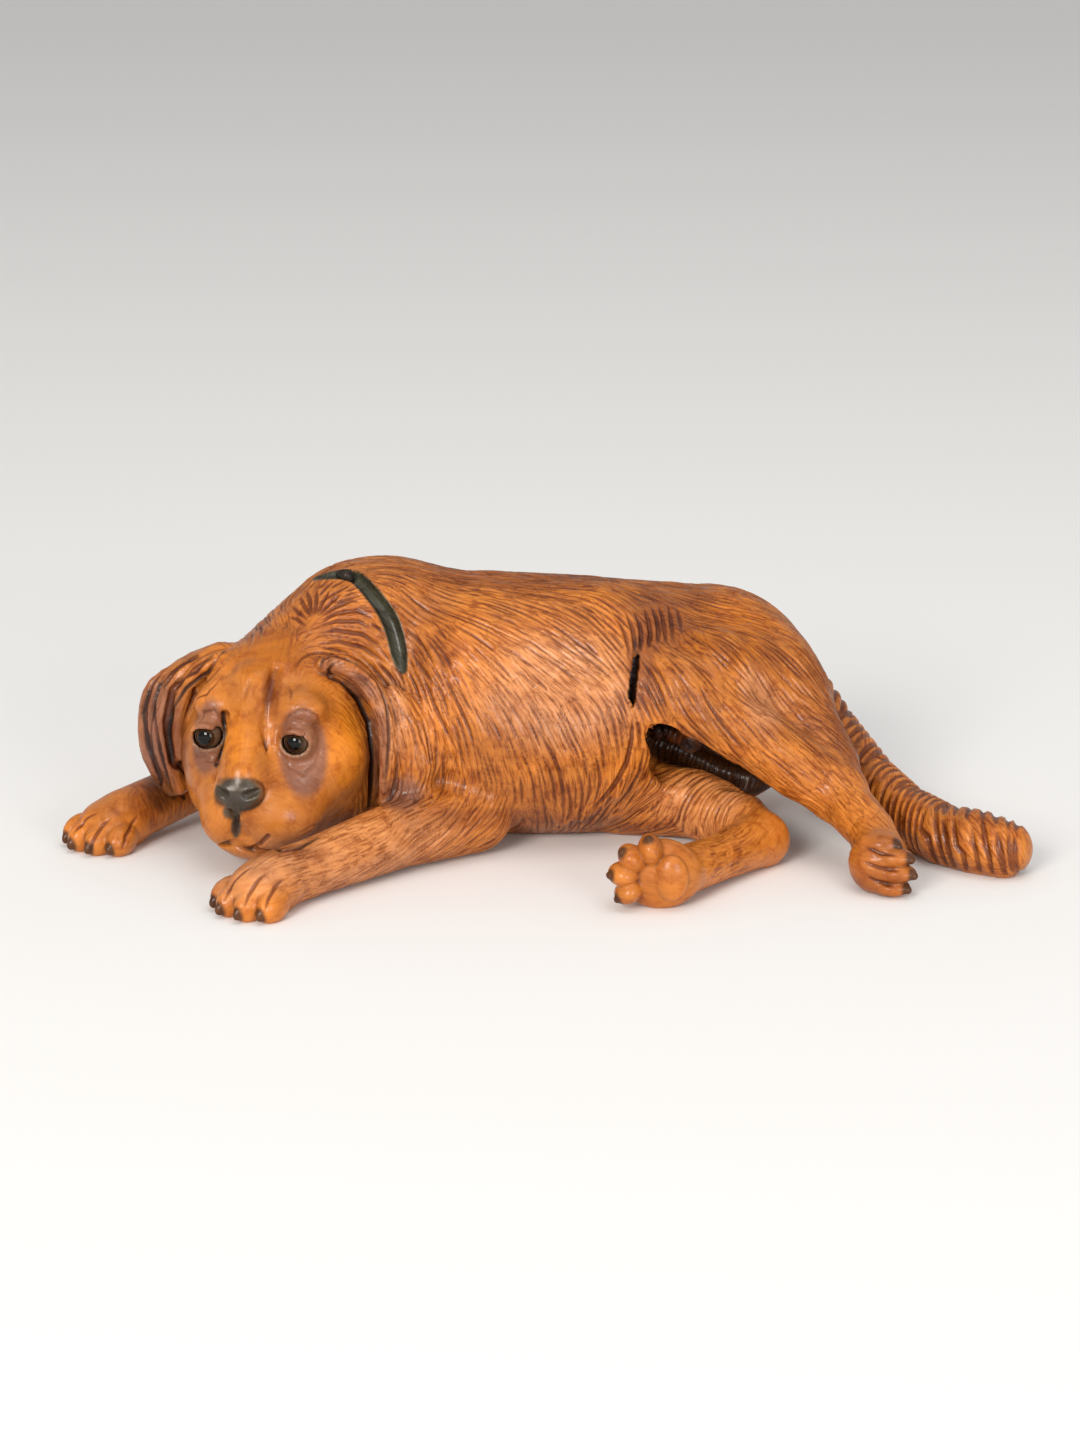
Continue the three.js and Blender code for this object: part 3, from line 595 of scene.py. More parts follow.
# The lie of the coat, from the nose to the tip of the tail.
GUIDES = (
    # Nape and neck: the coat rays out from between the ears.
    Guide((-98, 96, 88), (-0.5, 0.6, 0.5), Lie.LOCKS),
    Guide((-86, 96, 93), (0.2, 0.5, 0.6), Lie.LOCKS),
    Guide((-76, 92, 92), (0.8, 0.1, 0.4), Lie.LOCKS),
    Guide((-72, 84, 82), (0.95, -0.2, -0.1), Lie.LOCKS),
    Guide((-64, 80, 78), (0.75, -0.2, -0.6), Lie.LOCKS),
    Guide((-56, 82, 70), (0.55, -0.1, -0.8), Lie.LOCKS),
    Guide((-112, 110, 72), (-0.7, 0.7, 0.0), Lie.COAT),
    # Withers and shoulder, behind the collar.
    Guide((-62, 110, 104), (0.9, 0.1, 0.0), Lie.COAT),
    Guide((-48, 92, 94), (0.8, -0.3, -0.5), Lie.COAT),
    Guide((-42, 80, 78), (0.6, -0.2, -0.8), Lie.LOCKS),
    Guide((-36, 74, 60), (0.4, -0.1, -0.9), Lie.LOCKS),
    Guide((-34, 72, 40), (0.1, -0.2, -1.0), Lie.LOCKS),
    Guide((-20, 78, 66), (0.6, 0.0, -0.8), Lie.COAT),
    Guide((-18, 78, 36), (0.3, 0.2, -0.9), Lie.COAT),
    # Back and side.
    Guide((-30, 118, 99), (1.0, 0.0, 0.0), Lie.COAT),
    Guide((10, 118, 99), (1.0, 0.0, 0.0), Lie.COAT),
    Guide((50, 130, 92), (1.0, 0.0, -0.1), Lie.COAT),
    Guide((-15, 88, 88), (0.9, -0.2, -0.5), Lie.COAT),
    Guide((10, 76, 70), (0.75, 0.0, -0.65), Lie.COAT),
    Guide((8, 72, 50), (0.4, 0.0, -0.95), Lie.COAT),
    Guide((5, 80, 22), (0.12, 0.4, -0.9), Lie.LOCKS),
    Guide((24, 84, 20), (-0.25, 0.4, -0.9), Lie.LOCKS),
    Guide((26, 80, 44), (0.1, 0.1, -1.0), Lie.LOCKS),
    Guide((30, 92, 82), (0.6, -0.3, -0.75), Lie.LOCKS),
    Guide((42, 96, 82), (0.35, -0.4, -0.85), Lie.LOCKS),
    # Rump and thigh.
    Guide((74, 118, 86), (0.9, -0.1, -0.4), Lie.COAT),
    Guide((60, 86, 70), (0.6, -0.2, -0.8), Lie.COAT),
    Guide((50, 76, 60), (0.45, -0.1, -0.9), Lie.LOCKS),
    Guide((58, 74, 52), (0.6, -0.1, -0.8), Lie.LOCKS),
    Guide((76, 80, 60), (0.7, -0.1, -0.7), Lie.COAT),
    Guide((98, 96, 58), (0.55, 0.1, -0.8), Lie.COAT),
    Guide((108, 130, 50), (0.1, 0.0, -1.0), Lie.COAT),
    Guide((92, 70, 40), (0.75, -0.2, -0.6), Lie.COAT),
    Guide((108, 66, 24), (0.6, -0.6, -0.5), Lie.FINE),
    Guide((116, 48, 18), (0.4, -0.8, -0.3), Lie.FINE),
    Guide((124, 32, 14), (0.8, -0.5, 0.0), Lie.SMOOTH),
    # Lower hind leg.
    Guide((40, 98, 24), (-0.6, -0.3, -0.7), Lie.COAT),
    Guide((54, 92, 24), (-0.6, -0.3, -0.7), Lie.LOCKS),
    Guide((70, 86, 22), (-0.65, -0.4, -0.6), Lie.COAT),
    Guide((84, 68, 12), (-0.4, -0.8, -0.2), Lie.SMOOTH),
    Guide((62, 44, 12), (-0.6, -0.8, 0.0), Lie.FINE),
    Guide((42, 14, 13), (-0.9, 0.0, 0.2), Lie.SMOOTH),
    # Near foreleg and chest.
    Guide((-26, 78, 20), (-0.7, -0.5, -0.3), Lie.COAT),
    Guide((-44, 62, 24), (-0.8, -0.6, -0.1), Lie.COAT),
    Guide((-66, 42, 18), (-0.75, -0.65, -0.1), Lie.FINE),
    Guide((-86, 22, 14), (-0.7, -0.7, 0.0), Lie.FINE),
    Guide((-104, 4, 12), (-0.7, -0.7, -0.1), Lie.SMOOTH),
    # Far foreleg.
    Guide((-90, 166, 40), (-0.4, 0.2, -0.9), Lie.COAT),
    Guide((-128, 128, 22), (-0.7, -0.7, 0.0), Lie.FINE),
    Guide((-164, 84, 12), (-0.6, -0.8, 0.0), Lie.SMOOTH),
    # Face: short and smooth, from the nose backwards.
    Guide(head_point(30, 0, -6), (0.2, 0.9, 0.3), Lie.SMOOTH),
    Guide(head_point(16, 0, 20), (0.1, 0.7, 0.7), Lie.SMOOTH),
    Guide(head_point(-4, 0, 33), (0.1, 0.9, 0.2), Lie.SMOOTH),
    Guide(head_point(8, 0, 27), (0.1, 0.9, 0.4), Lie.SMOOTH),
    Guide(head_point(18, 26, -8), (0.6, 0.4, -0.7), Lie.SMOOTH),
    Guide(head_point(16, -26, -8), (-0.6, 0.2, -0.7), Lie.SMOOTH),
    Guide(head_point(10, 24, 20), (0.7, 0.3, 0.5), Lie.SMOOTH),
    Guide(head_point(8, 31, -6), (0.2, 0.4, -0.9), Lie.SMOOTH),
    Guide(head_point(4, -28, -6), (-0.2, 0.4, -0.9), Lie.SMOOTH),
    Guide(head_point(10, 28, -24), (0.3, 0.4, -0.8), Lie.SMOOTH),
    Guide(head_point(24, 17, -28), (0.7, 0.3, -0.6), Lie.SMOOTH),
    Guide(head_point(24, -17, -28), (-0.7, 0.3, -0.6), Lie.SMOOTH),
    # Ears: long pleats down the leather.
    Guide((-54, 68, 60), (0.3, 0.0, -0.95), Lie.FINE),
    Guide((-48, 68, 40), (0.1, 0.0, -1.0), Lie.FINE),
    Guide((-46, 70, 24), (-0.2, 0.0, -0.95), Lie.FINE),
    Guide((-128, 88, 70), (-0.7, 0.0, -0.6), Lie.PLEATS),
    Guide((-142, 90, 56), (-0.25, 0.1, -0.95), Lie.PLEATS),
    Guide((-145, 92, 38), (0.1, 0.0, -1.0), Lie.PLEATS),
    Guide((-140, 92, 24), (0.3, 0.0, -0.9), Lie.PLEATS),
    Guide((-148, 108, 42), (0.0, 0.1, -1.0), Lie.PLEATS),
    # Tail: rings across it.
    Guide((112, 142, 40), (0.2, -0.7, -0.7), Lie.FINE),
    Guide((130, 118, 26), (-0.2, -0.5, -0.8), Lie.FINE),
    Guide((142, 96, 22), (-0.5, -0.6, -0.6), Lie.FINE),
    Guide((156, 72, 22), (0.1, -0.75, -0.6), Lie.FINE),
    Guide((166, 56, 20), (0.5, -0.7, -0.5), Lie.FINE),
    # Far side and underneath: the coat as on the near side.
    Guide((-60, 150, 70), (0.5, 0.4, -0.8), Lie.COAT),
    Guide((-20, 168, 50), (0.6, 0.0, -0.8), Lie.COAT),
    Guide((20, 168, 50), (0.6, 0.0, -0.8), Lie.COAT),
    Guide((60, 180, 50), (0.5, 0.0, -0.8), Lie.COAT),
)


class Comb:
    """Spreads the guides over the dog: at every point, the way the coat lies and how it is cut."""

    SPREAD = 7.0  # how widely a guide holds sway
    BATCH = 40_000  # how many points are blended at a time

    def __init__(self, guides: Sequence[Guide]) -> None:
        """Stores the guides.

        Args:
            guides: The lie of the coat at chosen places.
        """
        self.places = np.array([g.place for g in guides], np.float32)
        ways = np.array([g.along for g in guides], np.float32)
        self.ways = ways / np.linalg.norm(ways, axis=1, keepdims=True)
        self.lies = np.array([g.lie.value for g in guides], np.float32)

    def spread(self, points: Points, normals: Points) -> tuple[np.ndarray, np.ndarray]:
        """Blends the guides near each point.

        Args:
            points: Points on the dog.
            normals: The surface's normals there.

        Returns:
            The direction of the coat at each point, along the surface, and the strokes' depth, width
            and length.
        """
        ways = np.empty_like(points)
        lies = np.empty_like(points)
        for start in range(0, len(points), self.BATCH):
            rows = slice(start, start + self.BATCH)
            gap = ((points[rows, None, :].astype(np.float32) - self.places[None]) ** 2).sum(2)
            weight = 1 / (gap + self.SPREAD**2) ** 2
            weight /= weight.sum(1, keepdims=True)
            ways[rows] = weight @ self.ways
            lies[rows] = weight @ self.lies
        ways -= normals * (ways * normals).sum(1, keepdims=True)
        ways /= np.linalg.norm(ways, axis=1, keepdims=True) + 1e-9
        return ways, lies


@dataclass
class Surface:
    """The dog's surface while it is carved: its vertices and their normals, in carver's units."""

    points: Points
    normals: Points

    def __post_init__(self) -> None:
        """Indexes the vertices."""
        self.tree = search_tree(self.points)

    def settle(self, point: np.ndarray) -> tuple[np.ndarray, int]:
        """Drops a point onto the surface.

        Args:
            point: A point near the surface.

        Returns:
            The point on the surface and the number of the vertex nearest to it.
        """
        _, index, _ = self.tree.find(point)
        normal = self.normals[index]
        return point - normal * float((point - self.points[index]) @ normal), index


class Gouge:
    """Cuts grooves into a surface and remembers how deep each vertex lies."""

    MARGIN = 0.42  # how near a stroke may run to another, as a share of its width
    START = 0.80  # how near it may start
    ROUND, SHARP = 2.0, 1.0  # how a groove's sides run out: like a bowl or like a notch
    HALF = {ROUND: 0.5, SHARP: 0.62}  # how far it reaches to each side, as a share of its width
    FALL = {ROUND: 1.0, SHARP: 1.4}  # how fast it grows shallow away from its middle
    SWELL = 0.55  # how soon it is full after its start; less is sooner
    HAND_STEP, COMB_STEP = 0.3, 0.4  # from dab to dab, as a share of its width
    SHORTEST = 5  # the fewest dabs of a combed stroke
    SKIRT = 0.4  # the strip over the underside where no stroke starts
    LENGTHS, WIDTHS, DEPTHS = (0.6, 1.5), (0.85, 1.2), (0.6, 1.25)  # how uneven the strokes are
    DRIFTS = (-0.3, 0.3)  # how far they drift aside, in radians

    def __init__(self, surface: Surface, ways: Points, random: np.random.Generator) -> None:
        """Takes up the surface to cut.

        Args:
            surface: The dog's surface.
            ways: The coat's direction at each vertex.
            random: Draws the strokes' places and their unevenness.
        """
        self.surface, self.ways, self.random = surface, ways, random
        self.taken = np.zeros(len(surface.points), bool)
        self.closed = np.zeros(len(surface.points), bool)
        self.indices: list[int] = []
        self.cuts: list[float] = []

    def dab(self, point: np.ndarray, reach: float, depth: float, width: float, edge: float) -> None:
        """Presses the gouge in at one point.

        Args:
            point: Where, on the surface.
            reach: The groove's half width.
            depth: How deep.
            width: The stroke's width, by which other strokes keep away.
            edge: ROUND or SHARP.
        """
        for _, index, gap in self.surface.tree.find_range(point, max(reach, width * self.START)):
            if gap < reach:
                self.indices.append(index)
                self.cuts.append(depth * (1 - (gap / reach) ** edge) ** self.FALL[edge])
            if gap < width * self.MARGIN:
                self.taken[index] = True
            self.closed[index] |= gap < width * self.START

    def cut(self, path: Sequence[np.ndarray], width: float, depth: float, edge: float) -> None:
        """Cuts one groove that starts and ends shallow and narrow.

        Args:
            path: Points on the surface, evenly spaced.
            width: How wide the groove is in its middle.
            depth: How deep it is in its middle.
            edge: ROUND or SHARP.
        """
        reach = width * self.HALF[edge]
        for step, point in enumerate(path):
            swell = math.sin(math.pi * (step + 0.5) / len(path)) ** self.SWELL
            self.dab(point, reach * (0.5 + 0.5 * swell), depth * swell, width, edge)

    def follow(self, stations: Sequence[np.ndarray], width: float, depth: float) -> None:
        """Cuts a groove through given places.

        Args:
            stations: The places, in order.
            width: How wide the groove is.
            depth: How deep it is.
        """
        path: list[np.ndarray] = []
        for a, b in zip(stations, stations[1:]):
            steps = max(1, int(np.linalg.norm(b - a) / (width * self.HAND_STEP)))
            path += [self.surface.settle(a + (b - a) * k / steps)[0] for k in range(steps)]
        if path:
            self.cut(path, width, depth, self.ROUND)

    def trace(self, start: int, side: int, length: float, step: float, bend: float) -> list[np.ndarray]:
        """Follows the coat from a vertex until another stroke is met.

        Args:
            start: The vertex.
            side: 1 along the coat, -1 against it.
            length: How far at most.
            step: How far from point to point.
            bend: How much the stroke drifts aside, in radians.

        Returns:
            The points passed, without the start.
        """
        path: list[np.ndarray] = []
        point, index = self.surface.points[start], start
        for count in range(int(length / step)):
            ahead = self.ways[index] * side
            drift = bend * (count * step / length)
            aside = np.cross(self.surface.normals[index], ahead)
            point, index = self.surface.settle(point + (ahead + aside * drift) * step)
            if self.taken[index]:
                break
            path.append(point)
        return path

    def comb_all(self, lies: np.ndarray) -> int:
        """Cuts strokes all over, each along the coat and clear of the strokes before it.

        Args:
            lies: The strokes' depth, width and length at each vertex.

        Returns:
            How many strokes were cut.
        """
        count = 0
        for start in self.random.permutation(len(self.surface.points)):
            point = self.surface.points[start]
            if self.taken[start] or self.closed[start] or point[2] < SAWN + self.SKIRT:
                continue
            depth, width, length = lies[start]
            length *= self.random.uniform(*self.LENGTHS)
            bend = self.random.uniform(*self.DRIFTS)
            back = self.trace(start, -1, length / 2, width * self.COMB_STEP, -bend)
            fore = self.trace(start, 1, length / 2, width * self.COMB_STEP, bend)
            path = back[::-1] + [point] + fore
            if len(path) < self.SHORTEST:
                self.taken[start] = True
                continue
            width *= self.random.uniform(*self.WIDTHS)
            self.cut(path, width, depth * self.random.uniform(*self.DEPTHS), self.SHARP)
            count += 1
        return count

    def finish(self) -> np.ndarray:
        """Gathers the cuts.

        Returns:
            How deep each vertex lies under the uncut surface.
        """
        depth = np.zeros(len(self.surface.points))
        np.maximum.at(depth, np.array(self.indices, int), np.array(self.cuts))
        return depth


@dataclass(frozen=True)
class Trace:
    """A groove given by the places of the photograph it passes through."""

    width: float
    depth: float
    pixels: Sequence[tuple[float, float]]
    stain: float = 0.0  # how much dark paint is rubbed into it, as stain and painted shade in the groove


TRACES = (
    # The left ear: the groove beside the cheek, the roll along it, its curled root and the lappet's ends.
    # The first four are painted dark with stain and shade.
    Trace(3.2, 1.5, ((342, 684), (358, 700), (368, 722), (371, 748), (371, 780), (369, 806)), 0.9),
    Trace(2.2, 0.9, ((356, 664), (376, 680), (387, 706), (389, 740), (386, 775), (383, 806)), 0.5),
    Trace(2.2, 1.1, ((320, 668), (323, 659), (332, 655), (346, 659), (356, 664)), 0.5),
    Trace(2.0, 0.9, ((333, 664), (328, 670), (331, 678), (340, 683)), 0.7),
    Trace(1.8, 0.6, ((331, 672), (340, 680), (350, 696))),
    Trace(1.6, 0.4, ((392, 720), (404, 752), (404, 784))),
    Trace(1.5, 0.4, ((412, 740), (418, 768), (412, 792))),
    # The right ear: long pleats from the crown down.
    Trace(3.4, 1.6, ((218, 656), (192, 668), (172, 690), (166, 722), (172, 762), (180, 796))),
    Trace(3.0, 1.4, ((204, 655), (178, 666), (160, 686), (152, 714), (153, 750), (165, 788))),
    Trace(2.6, 1.1, ((172, 664), (153, 682), (145, 708), (146, 744), (158, 776))),
    Trace(2.4, 0.9, ((226, 662), (208, 680), (192, 700), (184, 724))),
    Trace(2.0, 0.8, ((222, 674), (206, 694), (194, 716))),
    # The furrow of the brow.
    Trace(4.4, 0.6, ((272, 664), (272, 680), (268, 700), (265, 728))),
    # The crease beside the right eye, painted dark as the shadow between the eye and the bridge.
    Trace(2.6, 1.2, ((223, 712), (224, 724), (224, 740), (222, 752), (216, 766)), 1.0),
    # The right ear: the bottoms of its pleats, painted dark with stain and shade.
    Trace(2.4, 1.3, ((149, 691), (143, 714), (149, 745), (160, 779), (174, 798)), 0.8),
    Trace(2.2, 1.1, ((160, 684), (154, 714), (160, 750), (172, 791)), 0.7),
    Trace(2.6, 1.4, ((174, 708), (169, 730), (171, 760), (184, 798)), 1.0),
    Trace(2.2, 1.0, ((224, 652), (208, 672), (186, 688), (174, 708)), 0.8),
    Trace(2.0, 0.9, ((197, 656), (178, 668), (164, 687)), 0.6),
    Trace(2.0, 0.9, ((212, 656), (196, 672), (176, 682)), 0.6),
    # Wrinkles of the brow.
    Trace(2.2, 0.6, ((287, 681), (291, 692), (290, 704))),
    Trace(2.0, 0.5, ((252, 676), (246, 692), (243, 706))),
    # Lids and the folds round the eyes.
    Trace(1.8, 0.6, ((281, 728), (290, 714), (304, 709), (317, 715), (324, 729))),
    Trace(1.6, 0.5, ((281, 752), (290, 768), (304, 774), (316, 764), (321, 750))),
    Trace(1.8, 0.6, ((195, 726), (203, 712), (214, 710), (223, 720))),
    Trace(1.6, 0.5, ((196, 748), (206, 762), (218, 762), (224, 750))),
    Trace(1.3, 0.4, ((287, 740), (281, 749), (274, 757))),
    # Muzzle, lips and whiskers; the line of the mouth is painted dark with stain and shade.
    Trace(2.2, 1.0, ((236, 808), (236, 822), (237, 838))),
    Trace(2.4, 1.2, ((229, 843), (252, 849), (280, 851), (300, 848), (318, 838)), 0.7),
    Trace(1.5, 0.5, ((296, 834), (312, 826), (334, 818))),
    Trace(1.5, 0.5, ((302, 841), (320, 834), (342, 824))),
    Trace(1.5, 0.4, ((330, 812), (344, 800), (352, 786))),
    Trace(1.5, 0.4, ((324, 822), (342, 812), (352, 800))),
    # Toes of the near paw.
    Trace(2.2, 1.0, ((224, 902), (231, 886), (242, 873), (256, 864))),
    Trace(2.2, 1.0, ((244, 909), (249, 894), (258, 880), (270, 870))),
    Trace(2.2, 1.0, ((265, 912), (268, 899), (275, 887), (286, 877))),
    # Toes of the far paw.
    Trace(2.2, 1.0, ((64, 850), (72, 834), (84, 820), (98, 812))),
    Trace(2.2, 1.0, ((90, 854), (94, 839), (102, 826), (114, 816))),
    Trace(2.2, 1.0, ((122, 850), (126, 836), (132, 824), (140, 814))),
    # Toes of the upper hind paw.
    Trace(2.2, 1.0, ((898, 856), (880, 853), (862, 846))),
    Trace(2.2, 1.0, ((901, 871), (880, 868), (860, 860))),
    Trace(2.2, 1.0, ((896, 887), (878, 882), (864, 874))),
    # The fold where the belly meets the lower hind leg, a little darkened with stain and painted shade, and
    # folds in front of the hip.
    Trace(2.4, 1.6, ((633, 716), (632, 740), (627, 762), (618, 780), (606, 796), (590, 812)), 0.15),
    Trace(2.2, 1.2, ((644, 750), (640, 772), (629, 792), (610, 812)), 0.25),
    Trace(2.4, 0.9, ((617, 618), (625, 632), (629, 648), (629, 662))),
    Trace(2.6, 1.1, ((626, 612), (633, 628), (635, 642), (634, 655))),
    Trace(2.7, 1.3, ((634, 611), (640, 623), (642, 637), (641, 652))),
    Trace(2.7, 1.4, ((645, 608), (649, 621), (651, 634), (648, 650))),
    Trace(2.7, 1.4, ((652, 606), (657, 618), (659, 630), (658, 644))),
    Trace(2.6, 1.2, ((659, 605), (663, 617), (665, 630), (667, 644))),
    Trace(2.5, 1.1, ((668, 605), (671, 616), (672, 629), (674, 643))),
    Trace(2.4, 0.9, ((677, 606), (680, 619), (682, 634))),
    # The whorl on the nape, from which the coat rays out.
    Trace(2.4, 1.1, ((311, 617), (303, 604), (299, 595))),
    Trace(2.4, 1.1, ((312, 616), (309, 599), (306, 589))),
    Trace(2.4, 1.1, ((314, 615), (316, 600), (316, 588))),
    Trace(2.4, 1.1, ((316, 614), (323, 600), (330, 588))),
    Trace(2.5, 1.1, ((318, 615), (329, 603), (343, 592))),
    Trace(2.5, 1.1, ((319, 617), (334, 607), (352, 600), (362, 603))),
    Trace(2.6, 1.1, ((319, 621), (336, 613), (357, 610), (374, 619))),
    Trace(2.6, 1.0, ((316, 626), (336, 621), (358, 621), (378, 632))),
    Trace(2.6, 1.0, ((314, 633), (336, 630), (362, 634), (386, 650))),
    Trace(2.6, 0.9, ((312, 645), (338, 641), (364, 648), (392, 668))),
    Trace(2.4, 0.9, ((306, 626), (296, 618), (286, 616))),
    Trace(2.4, 0.9, ((308, 620), (296, 610), (290, 604))),
)


class Paint(Enum):
    """The stains rubbed into the wood, and the colours of the shade and light painted onto it, as linear
    colours.
    """

    ORANGE = (0.50, 0.175, 0.030)
    BRIGHT = (0.60, 0.205, 0.012)
    BROWN = (0.25, 0.070, 0.014)
    DARK = (0.035, 0.014, 0.006)
    PLUM = (0.25, 0.105, 0.062)
    GOLD = (0.44, 0.135, 0.005)
    PALE = (0.60, 0.280, 0.130)
    COLLAR = (0.055, 0.058, 0.042)
    GREY = (0.070, 0.060, 0.048)
    RIM = (0.36, 0.27, 0.18)


@dataclass(frozen=True)
class StainShadeAndLight:
    """A patch of stain, painted shade or painted light, given by its middle and half widths in the
    photograph.
    """

    paint: Paint
    middle: tuple[float, float]
    half: tuple[float, float]
    strength: float = 1.0
    lean: float = 0.0  # how far it is turned, in degrees
    edge: float = 0.45  # the share of its half width over which it fades


# Rubbed in one over another, in this order.
STAINS_SHADE_AND_LIGHT = (
    StainShadeAndLight(Paint.GOLD, (268, 655), (52, 34), 0.9),
    # Painted light on the cheek beside the left ear, lifting it out of shade.
    StainShadeAndLight(Paint.PALE, (346, 768), (24, 44), 0.4),
    StainShadeAndLight(Paint.BRIGHT, (240, 740), (22, 44), 0.65),
    StainShadeAndLight(Paint.BRIGHT, (346, 752), (24, 56), 0.8),
    StainShadeAndLight(Paint.BROWN, (330, 640), (70, 55), 0.35),
    StainShadeAndLight(Paint.BROWN, (430, 640), (40, 70), 0.30),
    StainShadeAndLight(Paint.BRIGHT, (560, 585), (200, 22), 0.35),
    # Browner stain and painted shade along the top of the back.
    StainShadeAndLight(Paint.BROWN, (540, 572), (170, 20), 0.7),
    StainShadeAndLight(Paint.BROWN, (672, 604), (56, 34), 0.5),
    StainShadeAndLight(Paint.GOLD, (728, 630), (60, 44), 0.8),
    StainShadeAndLight(Paint.BROWN, (772, 652), (10, 26), 0.5, -20),
    StainShadeAndLight(Paint.PALE, (760, 700), (22, 46), 0.6, -20),
    StainShadeAndLight(Paint.BROWN, (820, 700), (26, 60), 0.40),
    StainShadeAndLight(Paint.PALE, (560, 690), (100, 74), 0.7),
    StainShadeAndLight(Paint.PALE, (700, 800), (60, 40), 0.6),
    StainShadeAndLight(Paint.PALE, (350, 850), (130, 46), 0.6, -12),
    StainShadeAndLight(Paint.PALE, (392, 715), (22, 60), 0.6),
    StainShadeAndLight(Paint.PALE, (240, 875), (50, 36), 0.5),
    StainShadeAndLight(Paint.BROWN, (880, 858), (44, 34), 0.55),
    StainShadeAndLight(Paint.BROWN, (652, 862), (46, 40), 0.3),
    StainShadeAndLight(Paint.PLUM, (303, 752), (27, 51), 1.0, -4, 0.2),
    StainShadeAndLight(Paint.PLUM, (208, 737), (17, 44), 1.0, 6, 0.25),
    StainShadeAndLight(Paint.PLUM, (332, 667), (16, 13), 0.8),
    StainShadeAndLight(Paint.PLUM, (360, 686), (26, 15), 0.85, 42),
    StainShadeAndLight(Paint.PLUM, (378, 748), (13, 62), 0.85),
    StainShadeAndLight(Paint.PLUM, (402, 794), (28, 22), 0.95),
    StainShadeAndLight(Paint.PLUM, (160, 735), (30, 76), 0.95),
    # Painted shade on the right ear.
    StainShadeAndLight(Paint.BROWN, (176, 760), (14, 60), 0.6),
    StainShadeAndLight(Paint.BROWN, (268, 690), (8, 26), 0.8),
    StainShadeAndLight(Paint.GREY, (238, 793), (25, 16), 1.0, 0, 0.2),
    StainShadeAndLight(Paint.DARK, (222, 797), (10, 12), 0.8, 0, 0.4),
    StainShadeAndLight(Paint.GREY, (232, 812), (11, 9), 0.95, 0, 0.3),
    StainShadeAndLight(Paint.GREY, (236, 827), (6, 13), 0.95, 0, 0.3),
    StainShadeAndLight(Paint.BROWN, (276, 852), (56, 7), 0.55),
    # Painted shadow on the lump inside the hollow under the thigh.
    StainShadeAndLight(Paint.DARK, (690, 746), (14, 9), 0.9, 20, 0.4),
    # Painted shade beside the slot before the hip.
    StainShadeAndLight(Paint.BROWN, (641, 668), (18, 50), 0.75, 6),
    StainShadeAndLight(Paint.BROWN, (662, 630), (42, 24), 0.55),
    # Painted shade on the far forearm, under the right ear.
    StainShadeAndLight(Paint.BROWN, (148, 800), (28, 30), 0.9),
    StainShadeAndLight(Paint.DARK, (160, 792), (20, 24), 0.6),
    # Painted shade at the root of the tail.
    StainShadeAndLight(Paint.BROWN, (850, 740), (20, 52), 0.7, -24),
    # Painted shade along the bottom edge of the belly.
    StainShadeAndLight(Paint.BROWN, (500, 818), (100, 14), 0.6),
    # Painted shade along the bottom of the upper hind paw and of the tail.
    StainShadeAndLight(Paint.BROWN, (884, 884), (44, 18), 0.7),
    StainShadeAndLight(Paint.BROWN, (930, 862), (70, 12), 0.5, 8),
    StainShadeAndLight(Paint.BROWN, (276, 690), (7, 34), 0.6, 4),
)


@dataclass(frozen=True)
class PhotoCamera:
    """The camera the photograph was taken with, in carver's units."""

    target: Station = (0.0, 85.0, 53.0)
    distance: float = 1300.0
    elevation: float = math.radians(15)
    focal_px: float = 1300 / 0.37
    sensor_mm: float = 36.0

    @property
    def axes(self) -> tuple[np.ndarray, np.ndarray, np.ndarray]:
        """The camera's right, up and forward directions."""
        sine, cosine = math.sin(self.elevation), math.cos(self.elevation)
        return np.array([1.0, 0, 0]), np.array([0, sine, cosine]), np.array([0, cosine, -sine])

    @property
    def eye(self) -> np.ndarray:
        """Where the camera stands."""
        return np.array(self.target) - self.axes[2] * self.distance

    def ray(self, x: float, y: float) -> np.ndarray:
        """Looks through one pixel.

        Args:
            x: The pixel's column.
            y: The pixel's row.

        Returns:
            The direction of the line of sight.
        """
        right, up, ahead = self.axes
        width, height = IMAGE_SIZE
        way = ahead + right * (x - width / 2) / self.focal_px + up * (height / 2 - y) / self.focal_px
        return way / np.linalg.norm(way)

    def pixels(self, points: Points) -> np.ndarray:
        """Finds where points show in the photograph.

        Args:
            points: Points, one in each row.

        Returns:
            Their columns and rows.
        """
        right, up, ahead = self.axes
        width, height = IMAGE_SIZE
        rel = points - self.eye
        scale = self.focal_px / (rel @ ahead)
        return np.stack([width / 2 + rel @ right * scale, height / 2 - rel @ up * scale], 1)

    def place(self, layout: Layout) -> bpy.types.Object:
        """Adds the camera to the scene.

        Args:
            layout: Places carver's units in the row frame.

        Returns:
            The camera.
        """
        data = bpy.data.cameras.new("photo_camera")
        data.sensor_width = self.sensor_mm
        data.lens = self.sensor_mm * self.focal_px / max(IMAGE_SIZE)
        camera = bpy.data.objects.new("photo_camera", data)
        bpy.context.scene.collection.objects.link(camera)
        camera.location = layout.metres(self.eye)
        camera.rotation_euler = (math.pi / 2 - self.elevation, 0, 0)
        bpy.context.scene.camera = camera
        return camera


def select_only(piece: bpy.types.Object) -> None:
    """Deselects everything else and makes one object active.

    Args:
        piece: The object to select.
    """
    bpy.ops.object.select_all(action="DESELECT")
    piece.select_set(True)
    bpy.context.view_layer.objects.active = piece


def apply_modifier(piece: bpy.types.Object, kind: str, **settings: object) -> None:
    """Adds a modifier to a piece and applies it.

    Args:
        piece: The piece.
        kind: The modifier's type.
        **settings: Its settings.
    """
    select_only(piece)
    modifier = piece.modifiers.new(kind.lower(), kind)
    for name, value in settings.items():
        setattr(modifier, name, value)
    bpy.ops.object.modifier_apply(modifier=modifier.name)


